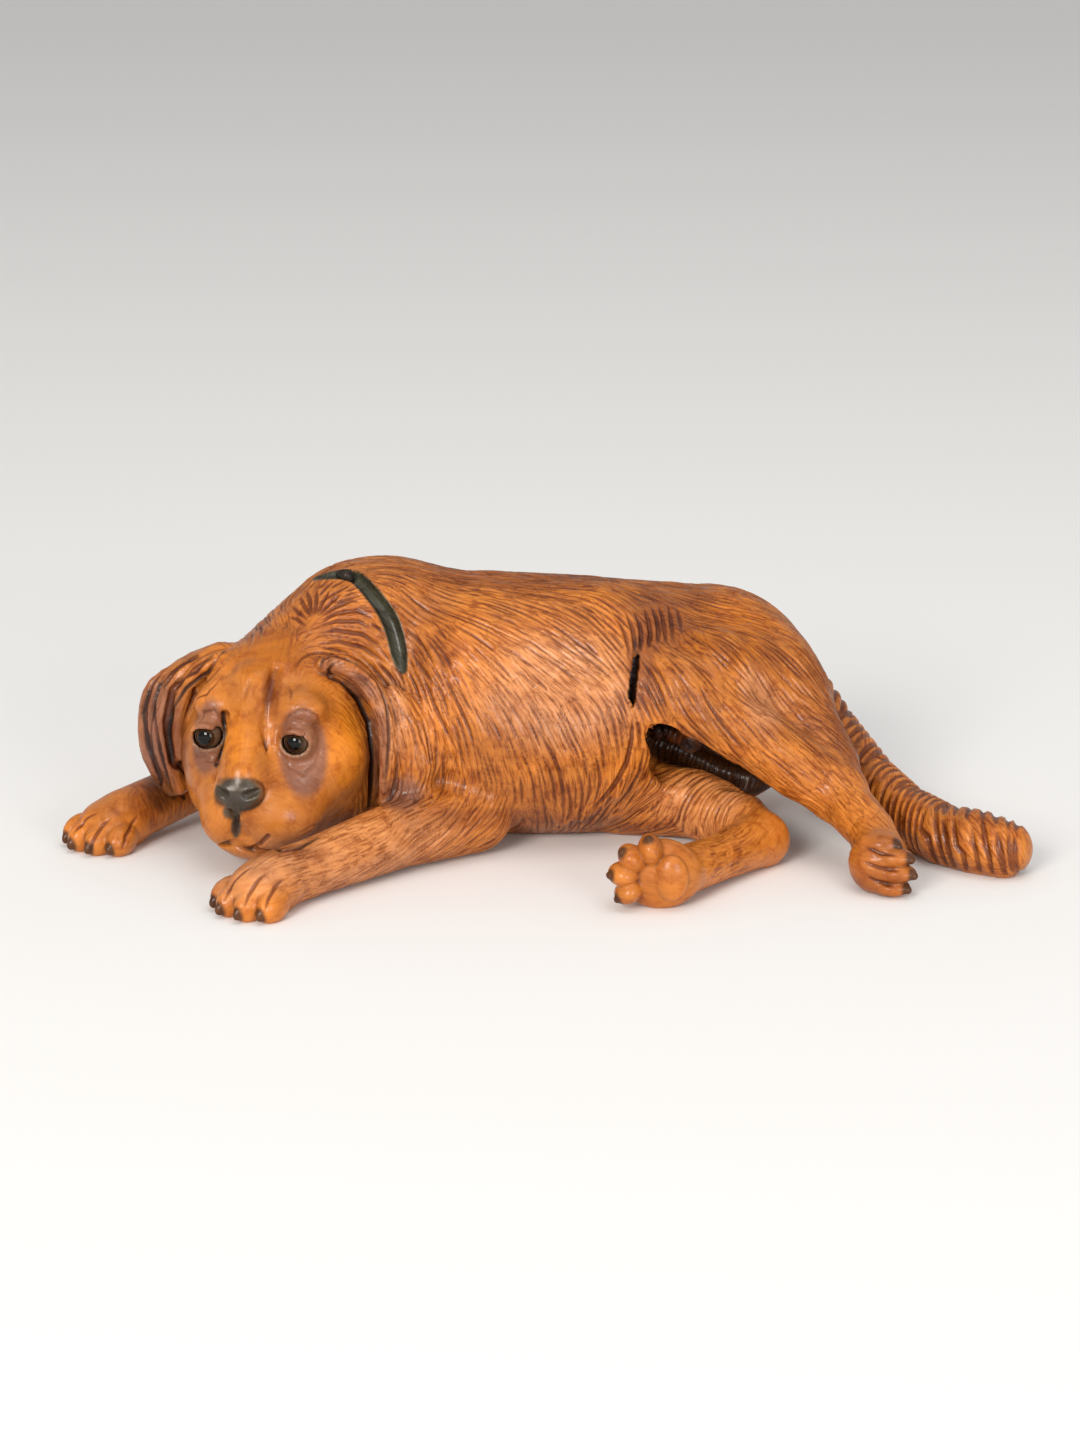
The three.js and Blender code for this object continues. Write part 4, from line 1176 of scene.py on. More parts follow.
class Skin:
    """A mesh read into arrays, in carver's units."""

    def __init__(self, piece: bpy.types.Object, layout: Layout) -> None:
        """Reads the mesh.

        Args:
            piece: The object whose mesh is read and later written.
            layout: Places carver's units in the row frame.
        """
        self.piece, self.layout = piece, layout
        mesh = piece.data
        flat = np.empty(len(mesh.vertices) * 3, np.float32)
        mesh.vertices.foreach_get("co", flat)
        self.points = layout.units(flat.reshape(-1, 3).astype(float))
        edges = np.empty(len(mesh.edges) * 2, np.int32)
        mesh.edges.foreach_get("vertices", edges)
        self.edges = edges.reshape(-1, 2)
        self.valence = np.bincount(self.edges.ravel(), minlength=len(self.points)).astype(float)[:, None]

    def write(self) -> np.ndarray:
        """Writes the points back to the mesh.

        Returns:
            The vertices' normals.
        """
        mesh = self.piece.data
        mesh.vertices.foreach_set("co", self.layout.metres(self.points).astype(np.float32).ravel())
        mesh.update()
        flat = np.empty(len(self.points) * 3, np.float32)
        mesh.vertex_normals.foreach_get("vector", flat)
        return flat.reshape(-1, 3).astype(float)

    def averaged(self, values: np.ndarray, rounds: int = 1) -> np.ndarray:
        """Averages values over neighbouring vertices.

        Args:
            values: One row for each vertex.
            rounds: How often to average.

        Returns:
            The averaged values.
        """
        rows = values.reshape(len(self.points), -1)
        a, b = self.edges[:, 0], self.edges[:, 1]
        for _ in range(rounds):
            total = np.empty_like(rows)
            for column in range(rows.shape[1]):
                cell = rows[:, column]
                total[:, column] = (np.bincount(a, cell[b], len(cell)) + np.bincount(b, cell[a], len(cell)))
            rows = 0.5 * rows + 0.5 * total / self.valence
        return rows.reshape(values.shape)


@dataclass
class Pace:
    """How finely the dog is worked."""

    cell: float = 0.66
    triangles: int = 740_000

    @classmethod
    def chosen(cls) -> "Pace":
        """The pace for this run."""
        return cls()


class CarvedDog:
    """The dog's body: one block of wood, carved all over and varnished."""

    NODE = "carved_dog"
    BLOCKS = ("dog_head", "dog_shoulders", "dog_flank", "dog_hindquarters")
    FITTINGS = 4  # how often the mesh is moved onto the clay
    STRIDE = 1.2  # how far it moves at most each time
    EVENING = 0.8  # how strictly its vertices are kept on the surface while they are evened out
    BARE = 0.9  # how near the collar, nose, tail and claws no stroke is combed
    PATCH_DEPTH, PATCH_FADE = 14.0, 8.0  # how far from its middle a stain reaches, and how it fades
    FULL_GROOVE, FULL_HOLLOW = 0.8, 1.2  # the depths that the varnish takes as 1
    PATCHES = 1500  # how many flat patches each quilt of hair has
    SEAM = 2.0  # how widely two patches of hair blend

    def __init__(self, layout: Layout, camera: PhotoCamera, pace: Pace) -> None:
        """Gets the forms and the tools ready.

        Args:
            layout: Places carver's units in the row frame.
            camera: The photograph's camera.
            pace: How finely to work.
        """
        self.layout, self.camera, self.pace = layout, camera, pace
        self.forms = DogForms(layout.eye_radius)
        self.comb = Comb(GUIDES)
        self.random = np.random.default_rng(11)
        self.eyes = [eye_centre(s) for s in SIDES]

    def build(self) -> list[bpy.types.Object]:
        """Carves and stains the dog, and paints shade and light into its colour.

        Returns:
            The finished blocks, from the head to the tail.
        """
        self.rough_out()
        self.skin = Skin(self.piece, self.layout)
        self.fit_clay()
        log.info("fitted %d vertices to the forms", len(self.skin.points))
        self.carve_coat()
        self.thin_out()
        self.paint()
        return self.saw_into_blocks()

    def rough_out(self) -> None:
        """Copies the CAD solid and gives the copy an even, fine mesh."""
        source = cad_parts[self.NODE]
        self.piece = bpy.data.objects.new("carving", source.data.copy())
        bpy.context.scene.collection.objects.link(self.piece)
        self.piece.data.materials.clear()
        select_only(self.piece)
        bpy.ops.object.mode_set(mode="EDIT")
        bpy.ops.mesh.select_all(action="SELECT")
        bpy.ops.mesh.remove_doubles(threshold=1e-6)
        bpy.ops.object.mode_set(mode="OBJECT")
        voxel = self.pace.cell * self.layout.unit
        apply_modifier(self.piece, "REMESH", mode="VOXEL", voxel_size=voxel, adaptivity=0.0)

    def measure(self, points: Points) -> np.ndarray:
        """Measures points against the clay with its sawn underside.

        Args:
            points: Points, one in each row.

        Returns:
            Each point's distance to the surface, negative inside.
        """
        return np.maximum(self.forms.clay.value(points), SAWN - points[:, 2])

    def fit_clay(self) -> None:
        """Moves the mesh onto the clay's surface and evens its vertices out."""
        skin = self.skin
        for turn in range(self.FITTINGS):
            normals = skin.write()
            skin.points -= normals * np.clip(self.measure(skin.points), -self.STRIDE, self.STRIDE)[:, None]
            if turn < self.FITTINGS - 1:
                normals = skin.write()
                shift = skin.averaged(skin.points, 2) - skin.points
                outward = normals * (shift * normals).sum(1, keepdims=True)
                skin.points += shift - outward * (self.EVENING if turn else 0.0)
        low, high = (self.layout.units(np.array(corner)) for corner in CAD_BOX)
        low = np.maximum(low + BOX_MARGIN, (-np.inf, -np.inf, SAWN))
        skin.points = np.clip(skin.points, low, high - BOX_MARGIN)

    def guarded(self, depth: np.ndarray, points: Points) -> np.ndarray:
        """Keeps the gouge off the underside and the eyes' sockets.

        Args:
            depth: The depth of the cut at each vertex.
            points: The vertices.

        Returns:
            The depth that is cut.
        """
        depth = depth * np.clip((points[:, 2] - SAWN - 0.3) / 1.5, 0, 1)
        for eye in self.eyes:
            gap = np.linalg.norm(points - eye, axis=1) - self.layout.eye_radius
            depth = depth * np.clip((gap - 0.8) / 1.2, 0, 1)
        return depth

    def carve_coat(self) -> None:
        """Cuts the coat's strokes and the traced grooves."""
        skin = self.skin
        normals = skin.write()
        # How hollow each vertex lies; the shader paints shade into the hollows by it.
        smooth = skin.averaged(skin.points, 24)
        self.hollow = ((smooth - skin.points) * normals).sum(1)
        soft = skin.averaged(normals, 4)
        soft /= np.linalg.norm(soft, axis=1, keepdims=True)
        surface = Surface(skin.points, soft)
        ways, lies = self.comb.spread(skin.points, soft)
        gouge = Gouge(surface, ways, self.random)
        for trace in TRACES:
            gouge.follow(self.drop(trace.pixels), trace.width, trace.depth)
        log.info("traced %d grooves by hand", len(TRACES))
        self.ring_tail(gouge)
        for bare in (self.forms.collar, self.forms.nose, self.forms.tail, *self.forms.claws):
            gouge.taken |= bare.distance(skin.points) < self.BARE
        count = gouge.comb_all(lies)
        log.info("cut %d strokes", count)
        self.depth = self.guarded(gouge.finish(), skin.points)
        skin.points -= soft * self.depth[:, None]
        skin.write()

    def ring_tail(self, gouge: Gouge) -> None:
        """Cuts the slanting grooves that lie across the tail.

        Args:
            gouge: The gouge.
        """
        tail = self.forms.tail
        legs = np.diff(tail.ends, axis=0)
        lengths = np.linalg.norm(legs, axis=1)
        reached = np.concatenate([[0], np.cumsum(lengths)])
        place = 0.0
        while place < reached[-1] + 8:
            place += self.random.uniform(3.6, 5.4)
            depth, width = self.random.uniform(0.9, 1.5), self.random.uniform(3.0, 4.2)
            for start, stop in ((-175, -60), (-75, 75), (60, 185)):
                start += self.random.uniform(-14, 14)
                stop += self.random.uniform(-14, 14)
                stations = []
                for degrees in np.arange(start, stop, 12.0):
                    angle = math.radians(degrees)
                    along = place + 5.5 * math.cos(angle) - 3.5 * math.sin(angle)
                    leg = int(np.clip(np.searchsorted(reached, along) - 1, 0, len(legs) - 1))
                    share = (along - reached[leg]) / lengths[leg]
                    ahead = legs[leg] / lengths[leg]
                    side = np.array([ahead[1], -ahead[0], 0.0])
                    side /= np.linalg.norm(side)
                    radius = np.interp(along, reached, tail.radii)
                    out = side * math.cos(angle) + np.cross(side, ahead) * math.sin(angle)
                    stations.append(tail.ends[leg] + legs[leg] * share + out * radius)
                gouge.follow(stations, width, depth)

    def drop(self, pixels: Iterable[tuple[float, float]]) -> list[np.ndarray]:
        """Finds the places on the dog that show at given pixels.

        Args:
            pixels: Columns and rows in the photograph.

        Returns:
            Points on the dog's surface; a pixel that misses it is left out.
        """
        found = []
        origin = Vector(self.layout.metres(self.camera.eye))
        for x, y in pixels:
            hit, place, _, _ = self.piece.ray_cast(origin, Vector(self.camera.ray(x, y)))
            if hit:
                found.append(self.layout.units(np.array(place)))
        return found

    def thin_out(self) -> None:
        """Merges the smallest faces and carries the depth of the cuts over."""
        fine, depth, hollow = self.skin.points, self.depth, self.hollow
        share = self.pace.triangles / (2 * len(self.piece.data.polygons))
        if share < 1:
            apply_modifier(self.piece, "DECIMATE", ratio=share, use_collapse_triangulate=True)
        self.skin = Skin(self.piece, self.layout)
        tree = search_tree(fine)
        nearest = np.array([tree.find(point)[1] for point in self.skin.points])
        self.depth, self.hollow = depth[nearest], hollow[nearest]

    def paint(self) -> None:
        """Stains the wood, paints shade and light into it, and writes what the varnish reads at each vertex.
        """
        normals = self.skin.write()
        colour = np.tile(np.array(Paint.ORANGE.value), (len(self.skin.points), 1))
        self.rub_patches(colour)
        self.rub_grooves(colour)
        nose = np.clip(1.6 - self.forms.nose.distance(self.skin.points), 0, 1)
        self.rub(colour, Paint.GREY, nose)
        collar = np.clip((1.1 - self.forms.collar.distance(self.skin.points)) / 0.7, 0, 1)
        self.rub(colour, Paint.COLLAR, collar)
        self.rub_lids(colour)
        # The colours hold the stains together with the painted shade and light.
        stain = self.piece.data.color_attributes.new("stain", "FLOAT_COLOR", "POINT")
        opaque = np.column_stack([colour, np.ones(len(colour))])
        stain.data.foreach_set("color", opaque.astype(np.float32).ravel())
        self.store("groove", np.clip(self.depth / self.FULL_GROOVE, 0, 1.5))
        self.store("hollow", np.clip(self.hollow / self.FULL_HOLLOW, -1, 1))
        self.store("metal", nose)
        self.store("whole_normal", normals)
        self.comb_hair(normals)

    def rub_patches(self, colour: np.ndarray) -> None:
        """Rubs in the patches of stain, painted shade and painted light, each only on the side of the dog
        that the photograph shows.

        Args:
            colour: The colours so far, changed in place.
        """
        points = self.skin.points
        seen = self.camera.pixels(points)
        for stain in STAINS_SHADE_AND_LIGHT:
            middle = self.drop([stain.middle])
            near = np.linalg.norm(points - middle[0], axis=1) if middle else np.full(len(points), FAR)
            lean = math.radians(stain.lean)
            across, down = (seen - stain.middle).T
            u = (across * math.cos(lean) + down * math.sin(lean)) / stain.half[0]
            v = (down * math.cos(lean) - across * math.sin(lean)) / stain.half[1]
            reach = max(stain.half) * 0.5 + self.PATCH_DEPTH
            share = np.clip((1 - np.hypot(u, v)) / stain.edge, 0, 1)
            share = share * np.clip((reach - near) / self.PATCH_FADE, 0, 1)
            self.rub(colour, stain.paint, share * stain.strength)

    def rub_grooves(self, colour: np.ndarray) -> None:
        """Darkens the claws, rubs dark stain and painted shade into the stained grooves, and paints shade
        into the slot before the hip and the hind leg's hollow.

        Args:
            colour: The colours so far, changed in place.
        """
        points = self.skin.points
        # Dark paint along the stained traces: stain pooled in each groove and painted shade in it.
        for trace in TRACES:
            if trace.stain:
                channel = Limb(*((*place, trace.width * 0.2) for place in self.drop(trace.pixels)))
                share = np.clip(1 - channel.distance(points) / 0.7, 0, 1)
                self.rub(colour, Paint.DARK, share * trace.stain)
        # The claws are painted dark, and the walls of the slot before the hip get painted shade.
        for form in (*self.forms.claws, self.forms.slot):
            self.rub(colour, Paint.DARK, np.clip(1.2 - form.distance(points), 0, 1) * 0.9)
        # Painted shadow deep in the hollow between the thigh and the lower leg.
        deep = np.clip((2 - self.forms.hollow.distance(points)) / 3, 0, 1)
        self.rub(colour, Paint.DARK, deep * 0.93)

    def rub_lids(self, colour: np.ndarray) -> None:
        """Gives each eye a pale lid, brighter below, and a dark rim next to the glass.

        Args:
            colour: The colours so far, changed in place.
        """
        points = self.skin.points
        rims, pale = np.zeros((2, len(points)))
        for eye in self.eyes:
            gap = np.linalg.norm(points - eye, axis=1) - self.layout.eye_radius
            lower = np.clip((eye[2] + 1.5 - points[:, 2]) / 2.5, 0, 1)
            pale = np.maximum(pale, np.clip(1 - np.abs(gap - 1.2) / 0.7, 0, 1) * (0.25 + 0.75 * lower))
            rims = np.maximum(rims, np.clip((0.9 - gap) / 0.4, 0, 1))
        self.rub(colour, Paint.RIM, pale * 0.55)
        self.rub(colour, Paint.DARK, rims * 0.9)

    def rub(self, colour: np.ndarray, paint: Paint, share: np.ndarray) -> None:
        """Rubs a stain into the colours.

        Args:
            colour: The colours so far, changed in place.
            paint: The stain.
            share: How much of it each vertex takes, 0 to 1.
        """
        colour += (np.array(paint.value) - colour) * np.clip(share, 0, 1)[:, None]

    def store(self, name: str, values: np.ndarray) -> None:
        """Writes one number, or three, for each vertex as an attribute.

        Args:
            name: The attribute's name.
            values: The numbers.
        """
        kind, key = ("FLOAT", "value") if values.ndim == 1 else ("FLOAT_VECTOR", "vector")
        attribute = self.piece.data.attributes.new(name, kind, "POINT")
        attribute.data.foreach_set(key, values.astype(np.float32).ravel())

    def comb_hair(self, normals: Points) -> None:
        """Lays two overlapping quilts of flat patches, so that fine hair can run along the coat.

        Args:
            normals: The vertices' normals.
        """
        points = self.skin.points
        ways, lies = self.comb.spread(points, normals)
        self.store("coat", np.clip(lies[:, 0] / 0.5, 0.25, 1))
        weights = []
        for name in ("hair_a", "hair_b"):
            centres = self.random.choice(len(points), self.PATCHES, replace=False)
            tree = search_tree(points[centres])
            nearest = np.empty(len(points), int)
            border = np.empty(len(points))
            for row, point in enumerate(points):
                (_, first, near), (_, _, next_near) = tree.find_n(point, 2)
                nearest[row], border[row] = first, next_near - near
            heart = centres[nearest]
            along, up = ways[heart], normals[heart]
            aside = np.cross(up, along)
            gap = points - points[heart]
            shift = self.random.random(len(centres)) * 60
            down, across = (gap * along).sum(1), (gap * aside).sum(1) + shift[nearest]
            self.store(name, np.stack([down, across, shift[nearest]], 1))
            weights.append(np.clip(border / self.SEAM, 0, 1) + 1e-4)
        self.store("hair_share", weights[0] / (weights[0] + weights[1]))

    def saw_into_blocks(self) -> list[bpy.types.Object]:
        """Saws the carving across into closed blocks of about the same number of faces.

        Returns:
            The blocks, shaded as one surface.
        """
        xs = np.sort(self.skin.points[:, 0])
        count = len(self.BLOCKS)
        cuts = [float(self.layout.metres([xs[len(xs) * k // count], 0, 0])[0]) for k in range(1, count)]
        blocks = []
        for number, name in enumerate(self.BLOCKS):
            block = self.piece.copy()
            block.data = self.piece.data.copy()
            block.name = block.data.name = name
            bpy.context.scene.collection.objects.link(block)
            if number:
                self.saw(block, cuts[number - 1], -1)
            if number < count - 1:
                self.saw(block, cuts[number], 1)
            self.shade_as_one(block)
            blocks.append(block)
        bpy.data.objects.remove(self.piece)
        return blocks

    def saw(self, block: bpy.types.Object, x: float, side: int) -> None:
        """Saws a block across, drops one side and closes the cut.

        Args:
            block: The block.
            x: Where to saw, in metres.
            side: 1 drops what lies beyond x, -1 what lies before it.
        """
        select_only(block)
        bpy.ops.object.mode_set(mode="EDIT")
        bpy.ops.mesh.select_all(action="SELECT")
        bpy.ops.mesh.bisect(plane_co=(x, 0, 0), plane_no=(side, 0, 0), use_fill=True, clear_outer=True)
        bpy.ops.object.mode_set(mode="OBJECT")

    def shade_as_one(self, block: bpy.types.Object) -> None:
        """Gives a block the whole carving's normals, so that no saw cut shows.

        Args:
            block: The block.
        """
        select_only(block)
        bpy.ops.object.shade_smooth()
        mesh = block.data
        whole = np.empty(len(mesh.vertices) * 3, np.float32)
        mesh.attributes["whole_normal"].data.foreach_get("vector", whole)
        whole = whole.reshape(-1, 3)
        whole /= np.linalg.norm(whole, axis=1, keepdims=True) + 1e-9
        corners = np.empty(len(mesh.loops), np.int32)
        mesh.loops.foreach_get("vertex_index", corners)
        normals = whole[corners]
        for face in mesh.polygons:
            if abs(face.normal.x) > 0.9999 and face.loop_total > 4:
                normals[face.loop_start:face.loop_start + face.loop_total] = face.normal
        mesh.normals_split_custom_set(normals.tolist())
        mesh.attributes.remove(mesh.attributes["whole_normal"])


Socket = bpy.types.NodeSocket
Feed = Socket | float | Sequence[float]


class Bench:
    """Lays out the nodes of one material."""

    def __init__(self, name: str) -> None:
        """Starts an empty material.

        Args:
            name: The material's name.
        """
        self.material = bpy.data.materials.new(name)
        self.material.use_nodes = True
        self.tree = self.material.node_tree
        self.tree.nodes.clear()

    def node(
        self, kind: str, feeds: dict[str | int, Feed] | None = None, **settings: object
    ) -> bpy.types.Node:
        """Adds a node.

        Args:
            kind: Its type.
            feeds: What goes into its inputs, by name or number.
            **settings: Its other settings.

        Returns:
            The node.
        """
        node = self.tree.nodes.new(kind)
        for name, value in settings.items():
            setattr(node, name, value)
        for key, feed in (feeds or {}).items():
            if isinstance(feed, Socket):
                self.tree.links.new(feed, node.inputs[key])
            else:
                node.inputs[key].default_value = feed
        return node

    def attribute(self, name: str, output: str = "Fac") -> Socket:
        """Reads a vertex attribute.

        Args:
            name: The attribute.
            output: Which of its outputs to use.

        Returns:
            The output.
        """
        return self.node("ShaderNodeAttribute", attribute_name=name).outputs[output]

    def math(self, operation: str, a: Feed, b: Feed = 0.0, clamp: bool = False) -> Socket:
        """Combines two numbers.

        Args:
            operation: What to do.
            a: The first number.
            b: The second number.
            clamp: Whether the result stays between 0 and 1.

        Returns:
            The result.
        """
        return self.node("ShaderNodeMath", {0: a, 1: b}, operation=operation, use_clamp=clamp).outputs[0]

    def stretch(self, vector: Socket, scale: Sequence[float]) -> Socket:
        """Scales coordinates along each axis.

        Args:
            vector: The coordinates.
            scale: The factors.

        Returns:
            The scaled coordinates.
        """
        return self.node("ShaderNodeMapping", {"Vector": vector, "Scale": scale}).outputs[0]

    def noise(
        self, vector: Socket, scale: float, detail: float = 3.0, rough: float = 0.55, warp: float = 0.0
    ) -> Socket:
        """Adds a noise pattern.

        Args:
            vector: The coordinates.
            scale: How fine it is.
            detail: How many layers it has.
            rough: How strong its fine layers are.
            warp: How much it is distorted.

        Returns:
            Its value.
        """
        feeds = {"Vector": vector, "Scale": scale, "Detail": detail, "Roughness": rough, "Distortion": warp}
        return self.node("ShaderNodeTexNoise", feeds).outputs["Fac"]

    def ramp(
        self, factor: Socket, low: float, high: float, to_low: float = 0.0, to_high: float = 1.0
    ) -> Socket:
        """Spreads a range of values smoothly over another.

        Args:
            factor: The value.
            low: Where the range starts.
            high: Where it ends.
            to_low: What the start becomes.
            to_high: What the end becomes.

        Returns:
            The new value.
        """
        feeds = {"Value": factor, "From Min": low, "From Max": high, "To Min": to_low, "To Max": to_high}
        return self.node("ShaderNodeMapRange", feeds, interpolation_type="SMOOTHSTEP").outputs[0]

    def mix(self, factor: Feed, a: Feed, b: Feed, blend: str = "MIX") -> Socket:
        """Mixes two colours.

        Args:
            factor: How much of the second.
            a: The first colour.
            b: The second colour.
            blend: How they are mixed.

        Returns:
            The mixed colour.
        """
        mixer = self.node("ShaderNodeMix", data_type="RGBA", blend_type=blend, clamp_factor=True)
        for number, feed in ((0, factor), (6, a), (7, b)):
            if isinstance(feed, Socket):
                self.tree.links.new(feed, mixer.inputs[number])
            else:
                mixer.inputs[number].default_value = feed
        return mixer.outputs[2]

    def finish(self, shader: Socket) -> bpy.types.Material:
        """Connects the surface.

        Args:
            shader: The surface shader.

        Returns:
            The material.
        """
        output = self.node("ShaderNodeOutputMaterial")
        self.tree.links.new(shader, output.inputs["Surface"])
        return self.material


@dataclass(frozen=True)
class VarnishedWood:
    """Stained, glossy carved wood: grain, stain that pools in the cuts, painted shade in the hollows, fine
    hair lines with painted shade and sheen along them, and varnish.
    """

    roughness: float = 0.38
    coat: float = 0.22
    coat_roughness: float = 0.18
    specular: float = 0.20
    hair_height: float = 0.00040  # in metres
    grain_height: float = 0.00008

    def hair(self, bench: Bench) -> Socket:
        """Makes hair lines along the coat from the two quilts of patches.

        Args:
            bench: The material's nodes.

        Returns:
            The height of the hair, 0 to 1.
        """
        layers = []
        for name in ("hair_a", "hair_b"):
            place = bench.attribute(name, "Vector")
            strands = bench.noise(bench.stretch(place, (0.10, 0.95, 1.0)), 1.0, 2.0, 0.5, 0.15)
            fine = bench.noise(bench.stretch(place, (0.16, 2.2, 1.0)), 1.0, 1.0, 0.5)
            strands, fine = bench.math("MULTIPLY", strands, 0.62), bench.math("MULTIPLY", fine, 0.38)
            layers.append(bench.math("ADD", strands, fine))
        share = bench.attribute("hair_share")
        first = bench.math("MULTIPLY", layers[0], share)
        second = bench.math("MULTIPLY", layers[1], bench.math("SUBTRACT", 1.0, share))
        return bench.math("ADD", first, second)

    def make(self) -> bpy.types.Material:
        """Makes the material.

        Returns:
            The material.
        """
        bench = Bench("varnished_wood")
        place = bench.node("ShaderNodeTexCoord").outputs["Object"]
        # The vertex colours: the stains, with painted shade and light rubbed in among them.
        stain = bench.attribute("stain", "Color")
        groove = bench.attribute("groove")
        hollow = bench.attribute("hollow")
        metal = bench.attribute("metal")
        hair = self.hair(bench)
        coat = bench.attribute("coat")
        grain = bench.noise(bench.stretch(place, (14, 160, 160)), 1.0, 5.0, 0.6, 0.8)
        cloud = bench.noise(place, 26.0, 3.0, 0.6, 0.4)
        fleck = bench.noise(bench.stretch(place, (60, 420, 420)), 1.0, 2.0, 0.5)
        blot = bench.noise(place, 130.0, 4.0, 0.65, 0.6)
        # Painted shade in the hollows; the same mask also makes them a little rougher.
        crevice_shade = bench.ramp(hollow, 0.12, 0.75, 0.0, 0.9)
        colour = stain
        for share, tint in (
            (bench.ramp(cloud, 0.35, 0.68), (1.12, 1.0, 0.75)),  # warm clouds
            (bench.ramp(cloud, 0.62, 0.34, 0.0, 0.55), (0.66, 0.52, 0.42)),  # deeper between them
            (bench.ramp(blot, 0.50, 0.32, 0.0, 0.75), (0.66, 0.50, 0.34)),  # dark blots
            (bench.ramp(blot, 0.54, 0.72, 0.0, 0.7), (1.12, 1.22, 1.6)),  # pale blots
            (bench.ramp(grain, 0.40, 0.72, 0.0, 0.45), (0.62, 0.48, 0.36)),  # the grain
            (bench.ramp(fleck, 0.56, 0.75, 0.0, 0.15), (0.55, 0.42, 0.32)),  # flecks in it
            # Painted shade between the hair lines.
            (bench.math("MULTIPLY", coat, bench.ramp(hair, 0.52, 0.40, 0.0, 0.9)), (0.50, 0.36, 0.24)),
            # Painted sheen along the hair lines.
            (bench.math("MULTIPLY", coat, bench.ramp(hair, 0.53, 0.66, 0.0, 0.9)), (1.22, 1.35, 1.6)),
            (bench.ramp(groove, 0.2, 0.95, 0.0, 0.95), (0.36, 0.27, 0.26)),  # stain pooled in the cuts
            (crevice_shade, (0.20, 0.12, 0.08)),  # painted shade in the hollows
            (bench.ramp(hollow, -0.12, -0.6, 0.0, 0.35), (1.22, 1.25, 1.3)),  # worn ridges
        ):
            colour = bench.mix(share, colour, (*tint, 1), "MULTIPLY")
        uneven = bench.ramp(cloud, 0.3, 0.7, self.roughness - 0.07, self.roughness + 0.09)
        rough = bench.math("ADD", uneven, bench.math("MULTIPLY", crevice_shade, 0.2), clamp=True)
        raised = bench.math("MULTIPLY", hair, coat)
        bump = bench.node("ShaderNodeBump", {
            "Strength": 0.8, "Distance": self.hair_height, "Height": raised,
        })
        fine_bump = bench.node("ShaderNodeBump", {
            "Strength": 0.35, "Distance": self.grain_height, "Height": grain, "Normal": bump.outputs[0],
        })
        shader = bench.node("ShaderNodeBsdfPrincipled", {
            "Base Color": colour, "Roughness": rough, "Metallic": bench.math("MULTIPLY", metal, 0.35),
            "Normal": fine_bump.outputs[0], "Coat Weight": self.coat, "Coat Roughness": self.coat_roughness,
            "IOR": 1.5, "Specular IOR Level": self.specular,
        })
        return bench.finish(shader.outputs[0])


@dataclass(frozen=True)
class EyeGlass:
    """Dark brown glass with a black pupil and a lighter ring, looking straight out of the socket."""

    roughness: float = 0.04

    def make(self, name: str, centre: Sequence[float], radius: float) -> bpy.types.Material:
        """Makes the glass for one eye.

        Args:
            name: The material's name.
            centre: The eye's centre, in metres.
            radius: Its radius, in metres.

        Returns:
            The material.
        """
        bench = Bench(name)
        place = bench.node("ShaderNodeTexCoord").outputs["Object"]
        shift = bench.node("ShaderNodeMapping", {"Vector": place, "Location": [-c for c in centre]})
        feeds = {0: shift.outputs[0], 1: GAZE}
        along = bench.node("ShaderNodeVectorMath", feeds, operation="DOT_PRODUCT").outputs["Value"]
        height = bench.math("DIVIDE", along, radius)
        fibres = bench.noise(place, 900.0, 2.0, 0.6)
        iris = bench.mix(bench.ramp(fibres, 0.3, 0.7), (0.020, 0.009, 0.004, 1), (0.050, 0.022, 0.009, 1))
        ring = bench.mix(bench.ramp(height, 0.70, 0.60), iris, (0.10, 0.06, 0.035, 1))
        pupil = bench.mix(bench.ramp(height, 0.84, 0.88), ring, (0.001, 0.001, 0.001, 1))
        shader = bench.node("ShaderNodeBsdfPrincipled", {
            "Base Color": pupil, "Roughness": self.roughness, "IOR": 1.36,
        })
        return bench.finish(shader.outputs[0])


@dataclass
class GlassEyes:
    """The two glass eyes, each a polished ball with a slightly domed front."""

    layout: Layout
    dome: float = 0.04

    def build(self) -> list[bpy.types.Object]:
        """Makes both eyes.

        Returns:
            The eyes, the dog's left one first.
        """
        return [self.make(side, node) for side, node in ((LEFT, "left_eye"), (RIGHT, "right_eye"))]

    def make(self, side: int, node: str) -> bpy.types.Object:
        """Makes one eye.

        Args:
            side: LEFT or RIGHT.
            node: The CAD node it stands for.

        Returns:
            The eye.
        """
        centre = self.layout.metres(eye_centre(side))
        radius = self.layout.eye_radius_m
        bpy.ops.object.select_all(action="DESELECT")
        bpy.ops.mesh.primitive_uv_sphere_add(segments=64, ring_count=40, radius=radius, location=centre)
        eye = bpy.context.object
        eye.name = node + "_glass"
        bpy.ops.object.transform_apply(location=True, rotation=True, scale=True)
        self.dome_front(eye, centre, radius)
        bpy.ops.object.shade_smooth()
        eye.data.materials.append(EyeGlass().make(node + "_finish", centre, radius))
        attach(eye, "root")
        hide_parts(node)
        return eye

    def dome_front(self, eye: bpy.types.Object, centre: np.ndarray, radius: float) -> None:
        """Sinks the ball a little outside its middle, so that its front stands proud like a cornea.

        Args:
            eye: The ball.
            centre: Its centre.
            radius: Its radius.
        """
        gaze, middle = Vector(GAZE), Vector(centre)
        for vertex in eye.data.vertices:
            out = vertex.co - middle
            facing = out.normalized().dot(gaze)
            sunk = self.dome * max(0.0, min(1.0, (0.86 - facing) / 0.12))
            vertex.co = middle + out * (1 - sunk)


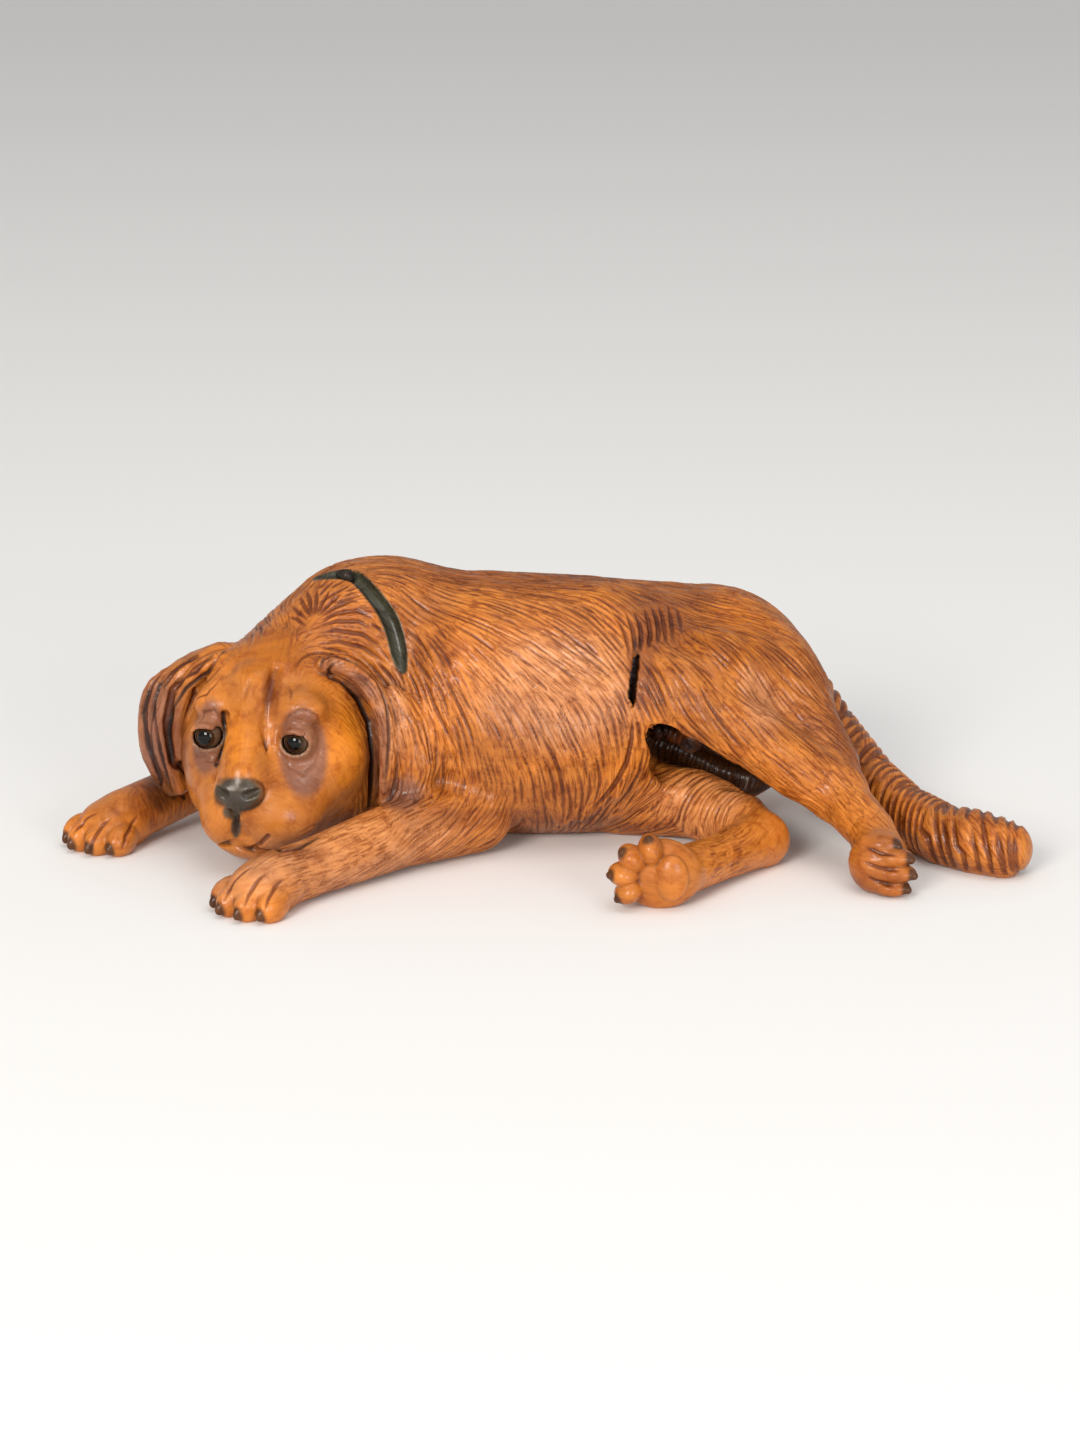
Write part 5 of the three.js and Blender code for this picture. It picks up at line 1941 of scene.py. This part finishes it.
@dataclass
class Studio:
    """A pale floor and soft lights."""

    floor_size: float = 24.0
    key_power: float = 100.0

    def build(self) -> None:
        """Lays the floor and hangs the lights."""
        self.lay_floor()
        self.add_light("key", (-1.3, -3.1, 1.5), 1.2, self.key_power, (1.0, 0.97, 0.92))
        self.add_light("fill", (1.6, -2.9, 0.7), 1.4, self.key_power * 0.5, (1.0, 0.98, 0.96))
        self.add_light("top", (0.3, -0.9, 3.0), 2.0, self.key_power * 0.2, (1.0, 1.0, 1.0))
        world = bpy.data.worlds.new("studio")
        world.use_nodes = True
        backdrop = world.node_tree.nodes["Background"]
        backdrop.inputs[0].default_value = (1.0, 0.99, 0.98, 1)
        backdrop.inputs[1].default_value = 0.54
        bpy.context.scene.world = world
        bpy.context.scene.view_settings.view_transform = "Standard"

    def lay_floor(self) -> None:
        """Lays the pale floor."""
        bpy.ops.object.select_all(action="DESELECT")
        bpy.ops.mesh.primitive_plane_add(size=self.floor_size, location=(0, 0, 0))
        floor = bpy.context.object
        floor.name = "floor"
        bench = Bench("pale_floor")
        shader = bench.node("ShaderNodeBsdfPrincipled", {
            "Base Color": (0.86, 0.855, 0.845, 1), "Roughness": 0.75, "Specular IOR Level": 0.2,
        })
        floor.data.materials.append(bench.finish(shader.outputs[0]))

    def add_light(self, name: str, place: Station, size: float, power: float, colour: Station) -> None:
        """Adds a square light that faces the dog.

        Args:
            name: The light's name.
            place: Where it hangs, in metres.
            size: Its side.
            power: Its power in watts.
            colour: Its colour.
        """
        data = bpy.data.lights.new(name, "AREA")
        data.size, data.energy, data.color = size, power, colour
        light = bpy.data.objects.new(name, data)
        bpy.context.scene.collection.objects.link(light)
        light.location = place
        light.rotation_euler = (Vector((0, 0, 0.05)) - Vector(place)).to_track_quat("-Z", "Y").to_euler()


def main() -> None:
    """Builds the scene."""
    logging.basicConfig(level=logging.INFO, format="%(message)s")
    layout = Layout()
    camera = PhotoCamera()
    camera.place(layout)
    dog = CarvedDog(layout, camera, Pace.chosen())
    wood = VarnishedWood().make()
    for block in dog.build():
        block.data.materials.append(wood)
        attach(block, "root")
        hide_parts(CarvedDog.NODE)
        log.info("%s: %d faces", block.name, len(block.data.polygons))
    for eye in GlassEyes(layout).build():
        log.info("%s: %d faces", eye.name, len(eye.data.polygons))
    Studio().build()


if __name__ == "__main__":
    main()
